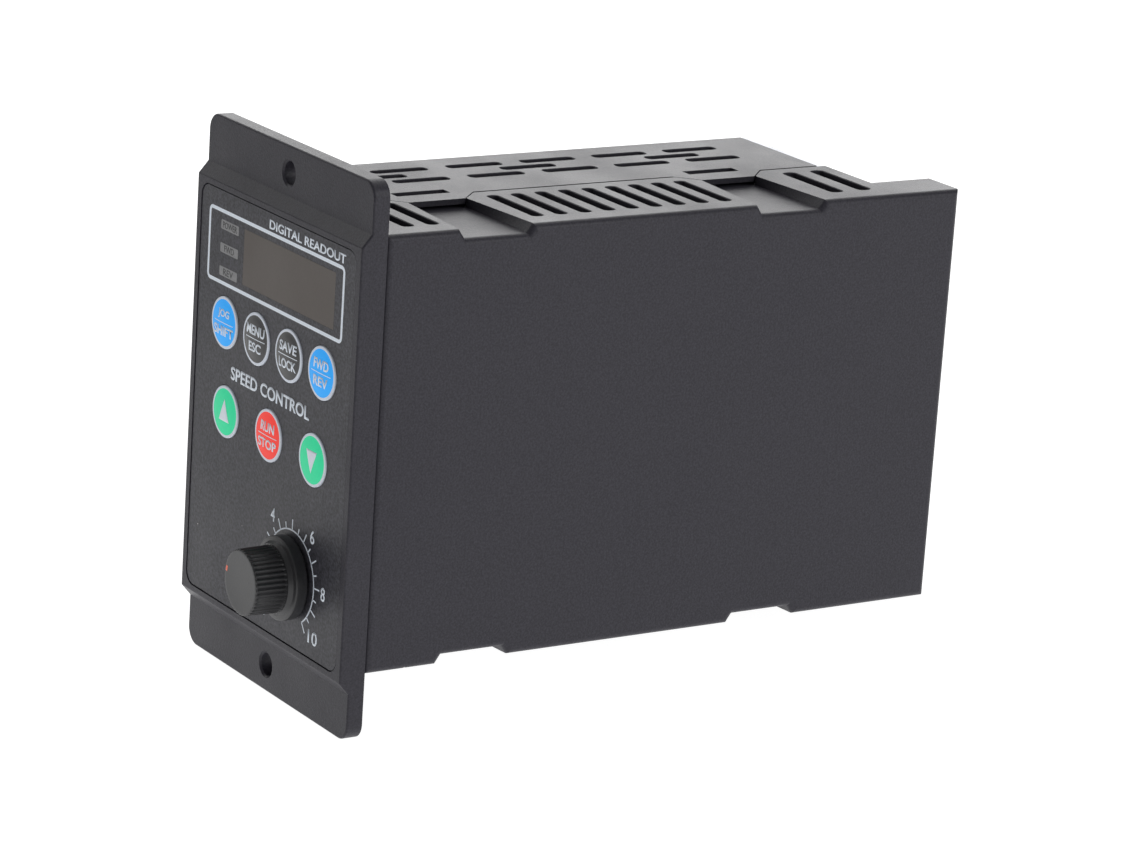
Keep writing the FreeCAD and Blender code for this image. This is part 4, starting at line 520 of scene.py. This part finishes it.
def key_cap(name, face_material, rim_material):
    """Key cap with its retaining flange and stem, in place of the plain one; returns its centre."""
    low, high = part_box(name)
    centre = ((low[0] + high[0]) / 2, (low[2] + high[2]) / 2)
    flange = (high[0] - low[0]) / 2
    inner = KEY_RADIUS - KEY_RIM
    turn = np.linspace(0, math.pi / 2, 5)
    face_radii = np.linspace(0, inner, 22)
    face_depths = key_face_depth(face_radii)
    rim_radii = KEY_RADIUS - KEY_EDGE + KEY_EDGE * np.sin(turn)
    rim_depths = FILM_FACE - KEY_PROUD + KEY_EDGE * (1 - np.cos(turn))
    shoulder = high[1] - KEY_FOOT
    flange_rear = shoulder + KEY_FLANGE_THICKNESS
    tail_radii = [KEY_RADIUS, flange, flange, KEY_STEM_RADIUS, KEY_STEM_RADIUS, 0.0]
    tail_depths = [shoulder, shoulder, flange_rear, flange_rear, high[1], high[1]]
    mesh = turned_mesh(
        name + "_cap", centre, np.concatenate((face_radii, rim_radii, tail_radii)),
        np.concatenate((face_depths, rim_depths, tail_depths)))
    mesh.materials.append(face_material)
    mesh.materials.append(rim_material)
    row = np.arange(len(mesh.polygons)) // KEY_SIDES
    mesh.polygons.foreach_set("material_index", (row >= len(face_radii) - 1).astype(np.int32))
    close_and_smooth(mesh, 50.0)
    piece = keep_mesh(name + "_cap", mesh, None, name)
    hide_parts(name)
    return centre


LEGEND_LIFT = 0.006 * MM
LEGEND_OFFSET = 1.95 * MM
LEGEND_HEIGHT = 2.3 * MM
LEGEND_BOLD = 0.028
LEGEND_LINE_WIDTH, LEGEND_LINE_HEIGHT = 8.6 * MM, 0.18 * MM
BAR_POINTS = 24


def legend_depth(centre):
    """Function that gives the depth just above a key's face at any point of it."""
    def depth(across, up):
        return key_face_depth(np.hypot(across - centre[0], up - centre[1])) - LEGEND_LIFT
    return depth


def bar_loop(width, height):
    """Two edges of a thin bar, each divided along its length, as lower and upper (across, up) points."""
    along = np.linspace(-width / 2, width / 2, BAR_POINTS)
    return tuple(np.stack((along, np.full(BAR_POINTS, side * height / 2)), axis=1) for side in (-1, 1))


def two_word_legend(name, words, centre, widths):
    """Two words with a thin line between them; the widths are in millimetres."""
    depth = legend_depth(centre)
    for word, width, offset in zip(words, widths, (LEGEND_OFFSET, -LEGEND_OFFSET)):
        print_words(
            name + "_" + word, word, (centre[0], centre[1] + offset), width * MM, LEGEND_HEIGHT, depth,
            WHITE_INK, name, bold=LEGEND_BOLD)
    lower, upper = bar_loop(LEGEND_LINE_WIDTH, LEGEND_LINE_HEIGHT)
    print_band(name + "_line", lower, upper, centre, WHITE_INK, name, closed=False, depth=depth)


ARROW_HALF_WIDTH = 2.35 * MM
ARROW_HEIGHT = 5.2 * MM
ARROW_BALANCE = 0.42
ARROW_POINTS = 14


def arrow_legend(name, centre, direction):
    """Triangle that points up or down: rows of a grid narrow evenly towards the tip.

    The balance is the share of its height that lies on the base's side of the key's middle."""
    share = np.linspace(0, 1, ARROW_POINTS)[:, None]
    across = np.linspace(-1, 1, ARROW_POINTS)[None, :] * (1 - share) * ARROW_HALF_WIDTH * direction
    up = direction * ((share - ARROW_BALANCE) * ARROW_HEIGHT + 0 * across)
    x, z = centre[0] + across, centre[1] + up
    points = np.stack((x, legend_depth(centre)(x, z), z), axis=-1)
    mesh = grid_mesh(name + "_arrow", points)
    close_and_smooth(mesh)
    if mesh.polygons[0].normal.y > 0:
        mesh.flip_normals()
    thicken(keep_mesh(name + "_arrow", mesh, WHITE_INK, name))


# Strength of the painted glow: emission in each key face's own colour, though the keys are no lamps.
KEY_PAINTED_GLOW = 0.22


def key_material(name, colour, roughness, coat):
    """Key face of a translucent, brightly pigmented moulding, with a painted glow: a little emission in its
    own colour stands in for light, though the key is no lamp.
    """
    material = moulded(name, colour, roughness, 1400.0, 0.00001, 0.0, 1.06, 0.25)
    shader = material.node_tree.nodes["Principled BSDF"]
    shader.inputs["Coat Weight"].default_value = coat
    shader.inputs["Coat Roughness"].default_value = 0.2
    # Painted glow: the face emits light in its own colour.
    shader.inputs["Emission Color"].default_value = (*colour, 1.0)
    shader.inputs["Emission Strength"].default_value = KEY_PAINTED_GLOW
    return material


KEY_BLUE = key_material("key_blue", (0.01, 0.38, 1.0), 0.4, 0.0)
KEY_GREEN = key_material("key_green", (0.01, 0.66, 0.31), 0.4, 0.0)
KEY_RED = key_material("key_red", (0.95, 0.045, 0.03), 0.4, 0.0)
KEY_BLACK = key_material("key_black", (0.008, 0.008, 0.009), 0.3, 0.25)
KEY_RIM_WHITE = printed("key_rim_white", (0.68, 0.73, 0.82))
TWO_WORD_KEYS = (
    ("key_shift", KEY_BLUE, "key_blue", ("JOG", "SHIFT"), (5.2, 9.0)),
    ("key_menu", KEY_BLACK, "key_black", ("MENU", "ESC"), (8.2, 5.6)),
    ("key_save", KEY_BLACK, "key_black", ("SAVE", "LOCK"), (7.8, 7.8)),
    ("key_direction", KEY_BLUE, "key_blue", ("FWD", "REV"), (6.6, 6.4)),
    ("key_run_stop", KEY_RED, "key_red", ("RUN", "STOP"), (6.2, 8.2)),
)
for key_name, key_finish, key_slot, words, widths in TWO_WORD_KEYS:
    key_centre = key_cap(key_name, key_finish, KEY_RIM_WHITE)
    two_word_legend(key_name, words, key_centre, widths)
for key_name, direction in (("key_up", 1), ("key_down", -1)):
    key_centre = key_cap(key_name, KEY_GREEN, KEY_RIM_WHITE)
    arrow_legend(key_name, key_centre, direction)


# Dial. A scale from 0 to 10 printed round the knob: a thin arc, a long tick at each
# whole number, a short one at each half, and a figure at every second number.

knob_low, knob_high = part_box("knob")
KNOB_CENTRE = ((knob_low[0] + knob_high[0]) / 2, (knob_low[2] + knob_high[2]) / 2)
ARC_RADIUS = 10.85 * MM
DIAL_LINE = 0.36 * MM
DIAL_START, DIAL_STEP = -145.0, 29.0
LONG_TICK, SHORT_TICK = 13.4 * MM, 12.4 * MM
FIGURE_HEIGHT = 3.2 * MM
FIGURE_WIDTH, TEN_WIDTH = 1.9 * MM, 4.2 * MM
# Each figure's value, its angle clockwise from straight up, and its distance in millimetres.
DIAL_FIGURES = (
    (0, -134.0, 15.8), (2, -88.7, 15.0), (4, -37.5, 15.0),
    (6, 37.5, 15.0), (8, 88.7, 15.0), (10, 134.0, 15.8))


def dial_direction(value):
    """Unit (across, up) direction of a dial value: clockwise from straight up."""
    angle = np.radians(DIAL_START + DIAL_STEP * np.asarray(value, dtype=float))
    return np.stack((np.sin(angle), np.cos(angle)), axis=-1)


sweep = dial_direction(np.linspace(0, 10, 181))
print_band(
    "dial_arc", (ARC_RADIUS - DIAL_LINE / 2) * sweep, (ARC_RADIUS + DIAL_LINE / 2) * sweep, KNOB_CENTRE,
    WHITE_INK, "drive", closed=False)
for half in range(21):
    direction = dial_direction(half / 2)
    side = np.array((direction[1], -direction[0])) * DIAL_LINE / 2
    reach = LONG_TICK if half % 2 == 0 else SHORT_TICK
    ends = np.array((ARC_RADIUS, reach))[:, None] * direction
    print_band(
        f"dial_tick_{half:02d}", ends + side, ends - side, KNOB_CENTRE, WHITE_INK, "drive",
        closed=False)
for value, turn_degrees, reach in DIAL_FIGURES:
    turn = math.radians(turn_degrees)
    place = np.array(KNOB_CENTRE) + reach * MM * np.array((math.sin(turn), math.cos(turn)))
    print_words(
        f"dial_figure_{value:02d}", str(value), place, TEN_WIDTH if value == 10 else FIGURE_WIDTH,
        FIGURE_HEIGHT, PRINT_FACE, WHITE_INK, "drive", bold=0.012)


# Knob. One moulding: a flat skirt with a rounded rim, and a tapered grip with forty
# shallow flutes and a plain face. A coral bar in its side is the pointer.

FLUTES = 40
POINTS_PER_FLUTE = 8
FLUTE_DEPTH = 0.42 * MM
FLUTE_POWER = 1.8
SKIRT_HEIGHT = 2.9 * MM
SKIRT_ROUND = 0.35 * MM
GRIP_BASE_HEIGHT = 4.1 * MM
GRIP_BASE_RADIUS, GRIP_TOP_RADIUS = 7.7 * MM, 7.55 * MM
GRIP_EDGE = 0.4 * MM


def knob_surface():
    """Knob as rows of rings from the rear to the face.

    Each ring has a radius, a depth and a share of the flute depth. The radius drops by that share
    times ((1 - cos(40 a)) / 2) ** FLUTE_POWER, where the power keeps the crests broad."""
    rear, face = knob_high[1], knob_low[1]
    skirt_radius = (knob_high[0] - knob_low[0]) / 2
    skirt_flat = skirt_radius - SKIRT_ROUND
    skirt_front, grip_base = rear - SKIRT_HEIGHT, rear - GRIP_BASE_HEIGHT
    grip_taper, grip_length = GRIP_TOP_RADIUS - GRIP_BASE_RADIUS, face - grip_base
    turn = np.linspace(0, math.pi / 2, 6)
    rows = [(0.0, rear, 0.0), (skirt_flat, rear, 0.0)]
    for a in turn:
        rows.append((skirt_flat + SKIRT_ROUND * math.sin(a), rear - SKIRT_ROUND * (1 - math.cos(a)), 0.0))
    for a in turn:
        rows.append((
            skirt_flat + SKIRT_ROUND * math.cos(a), skirt_front + SKIRT_ROUND * (1 - math.sin(a)), 0.0))
    rows.append((skirt_radius - 1.1 * MM, skirt_front - 0.16 * MM, 0.0))
    rows.append((GRIP_BASE_RADIUS + 0.35 * MM, grip_base, 0.0))
    rows.append((GRIP_BASE_RADIUS - 0.04 * MM, grip_base - 0.02 * MM, 0.1))
    for share in np.linspace(0.02, 0.93, 12):
        rows.append((GRIP_BASE_RADIUS + share * grip_taper, grip_base + share * grip_length, 1.0))
    rows.append((GRIP_TOP_RADIUS + 0.02 * MM, face + GRIP_EDGE * 1.2, 0.9))
    for a in turn:
        rows.append((
            GRIP_TOP_RADIUS - GRIP_EDGE * (1 - math.cos(a)), face + GRIP_EDGE * (1 - math.sin(a)),
            0.5 * math.cos(a)))
    rows.append((GRIP_TOP_RADIUS - 1.0 * MM, face + 0.03 * MM, 0.0))
    rows.append((0.0, face + 0.05 * MM, 0.0))
    radius, depth, fluted = (np.array(column)[:, None] for column in zip(*rows))
    angle = np.arange(FLUTES * POINTS_PER_FLUTE) * 2 * math.pi / (FLUTES * POINTS_PER_FLUTE)
    valley = (0.5 - 0.5 * np.cos(FLUTES * angle)) ** FLUTE_POWER
    radius = radius - fluted * FLUTE_DEPTH * valley
    across = KNOB_CENTRE[0] + radius * np.cos(angle)
    up = KNOB_CENTRE[1] + radius * np.sin(angle)
    return np.stack((across, depth + 0 * angle, up), axis=-1)


knob_mesh = grid_mesh("knob_moulding", knob_surface(), wrap_columns=True)
close_and_smooth(knob_mesh, 46.0)
KNOB_BLACK = moulded("knob_moulding", (0.021, 0.021, 0.023), 0.4, 2300.0, 0.00002, 0.03)
knob_piece = keep_mesh("knob_moulding", knob_mesh, KNOB_BLACK, "speed_knob")
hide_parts("knob")
finish_node(["knob_pointer"], moulded("pointer_coral", (0.75, 0.12, 0.05), 0.38, 1500.0, 0.00001, 0.0))


# Studio. The drive lies as it would on a table: on the lower edge of its flange and
# on the far bottom edge of its housing, so the table slopes in the drive's own frame.

shell_low, shell_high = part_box("right_shell")
FLANGE_REST = -3.9 * MM
FLANGE_EDGE = np.array((0.0, FLANGE_REST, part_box("front_bezel")[0][2]))
HOUSING_EDGE = np.array((0.0, shell_high[1], shell_low[2]))
slope = (HOUSING_EDGE - FLANGE_EDGE) / np.linalg.norm(HOUSING_EDGE - FLANGE_EDGE)
FLOOR_REACH = 9.0
FLOOR_DROP = 0.02 * MM
FLOOR_GLOW = 0.97
DIM_GLOW = 0.3
BAND_SIDE = (-0.549, -0.836, 0.0)
BAND_FADE = (0.27, 0.95)
across_floor = np.array((1.0, 0.0, 0.0))
corner_shares = np.array([[(-1, -1), (1, -1)], [(-1, 1), (1, 1)]], dtype=float)
floor_points = (
    FLANGE_EDGE - np.array((0, 0, FLOOR_DROP))
    + FLOOR_REACH * (corner_shares[..., :1] * across_floor + corner_shares[..., 1:] * slope))
floor_mesh = grid_mesh("studio_floor", floor_points)
floor = bpy.data.objects.new("studio_floor", floor_mesh)
bpy.context.scene.collection.objects.link(floor)


def light_table():
    """Frosted acrylic lit from below: its glow is even over a broad band and fades softly on one side."""
    material = moulded("light_table", (0.35, 0.35, 0.35), 0.8, 300.0, 0.00001, 0.0, 1.02)
    tree = material.node_tree
    shader = tree.nodes["Principled BSDF"]
    place = add_node(tree, "ShaderNodeTexCoord")
    across = add_node(tree, "ShaderNodeVectorMath", operation="DOT_PRODUCT")
    tree.links.new(place.outputs["Object"], across.inputs[0])
    across.inputs[1].default_value = BAND_SIDE
    fade = spread(tree, across.outputs["Value"], *BAND_FADE, 0.0, 1.0)
    glow = blend_colours(tree, fade, (1.0, 1.0, 1.0), (DIM_GLOW, DIM_GLOW, DIM_GLOW))
    tree.links.new(glow, shader.inputs["Emission Color"])
    shader.inputs["Emission Strength"].default_value = FLOOR_GLOW
    return material


floor_mesh.materials.append(light_table())


def soft_light(name, place, aim, size, power):
    """Square area light at a place, turned towards a point."""
    lamp = bpy.data.lights.new(name, "AREA")
    lamp.size = size
    lamp.energy = power
    holder = bpy.data.objects.new(name, lamp)
    away = np.array(place) - np.array(aim)
    away = away / np.linalg.norm(away)
    side = np.cross((0.0, 0.0, 1.0), away)
    side = side / np.linalg.norm(side)
    rise = np.cross(away, side)
    pose = np.eye(4)
    pose[:3, 0], pose[:3, 1], pose[:3, 2], pose[:3, 3] = side, rise, away, place
    holder.matrix_world = Matrix(pose)
    bpy.context.scene.collection.objects.link(holder)


MIDDLE = (0.0, 0.07, 0.0)
soft_light("overhead_softbox", (-0.3, 0.5, 1.6), MIDDLE, 1.4, 6.0)
soft_light("rear_softbox", (-1.3, 0.95, 0.66), MIDDLE, 1.3, 13.0)
soft_light("side_softbox", (1.6, 0.9, 0.9), MIDDLE, 1.0, 11.0)
soft_light("left_softbox", (-1.2, -0.45, 0.8), MIDDLE, 0.8, 3.0)

world = bpy.data.worlds.new("studio_tent")
bpy.context.scene.world = world
world.use_nodes = True
world.node_tree.nodes["Background"].inputs["Color"].default_value = (1.0, 1.0, 1.0, 1.0)
world.node_tree.nodes["Background"].inputs["Strength"].default_value = 0.22
bpy.context.scene.view_settings.view_transform = "Standard"

camera_data = bpy.data.cameras.new("studio_camera")
camera_data.lens = 136.67
camera_data.sensor_width = 36.0
camera_data.clip_start = 0.05
camera_data.clip_end = 40.0
camera = bpy.data.objects.new("studio_camera", camera_data)
camera.matrix_world = Matrix((
    (0.532739, -0.263585, 0.804184, 0.817953),
    (0.843854, 0.093564, -0.528352, -0.462561),
    (0.064023, 0.960088, 0.272273, 0.268160),
    (0.0, 0.0, 0.0, 1.0),
))
bpy.context.scene.collection.objects.link(camera)
bpy.context.scene.camera = camera
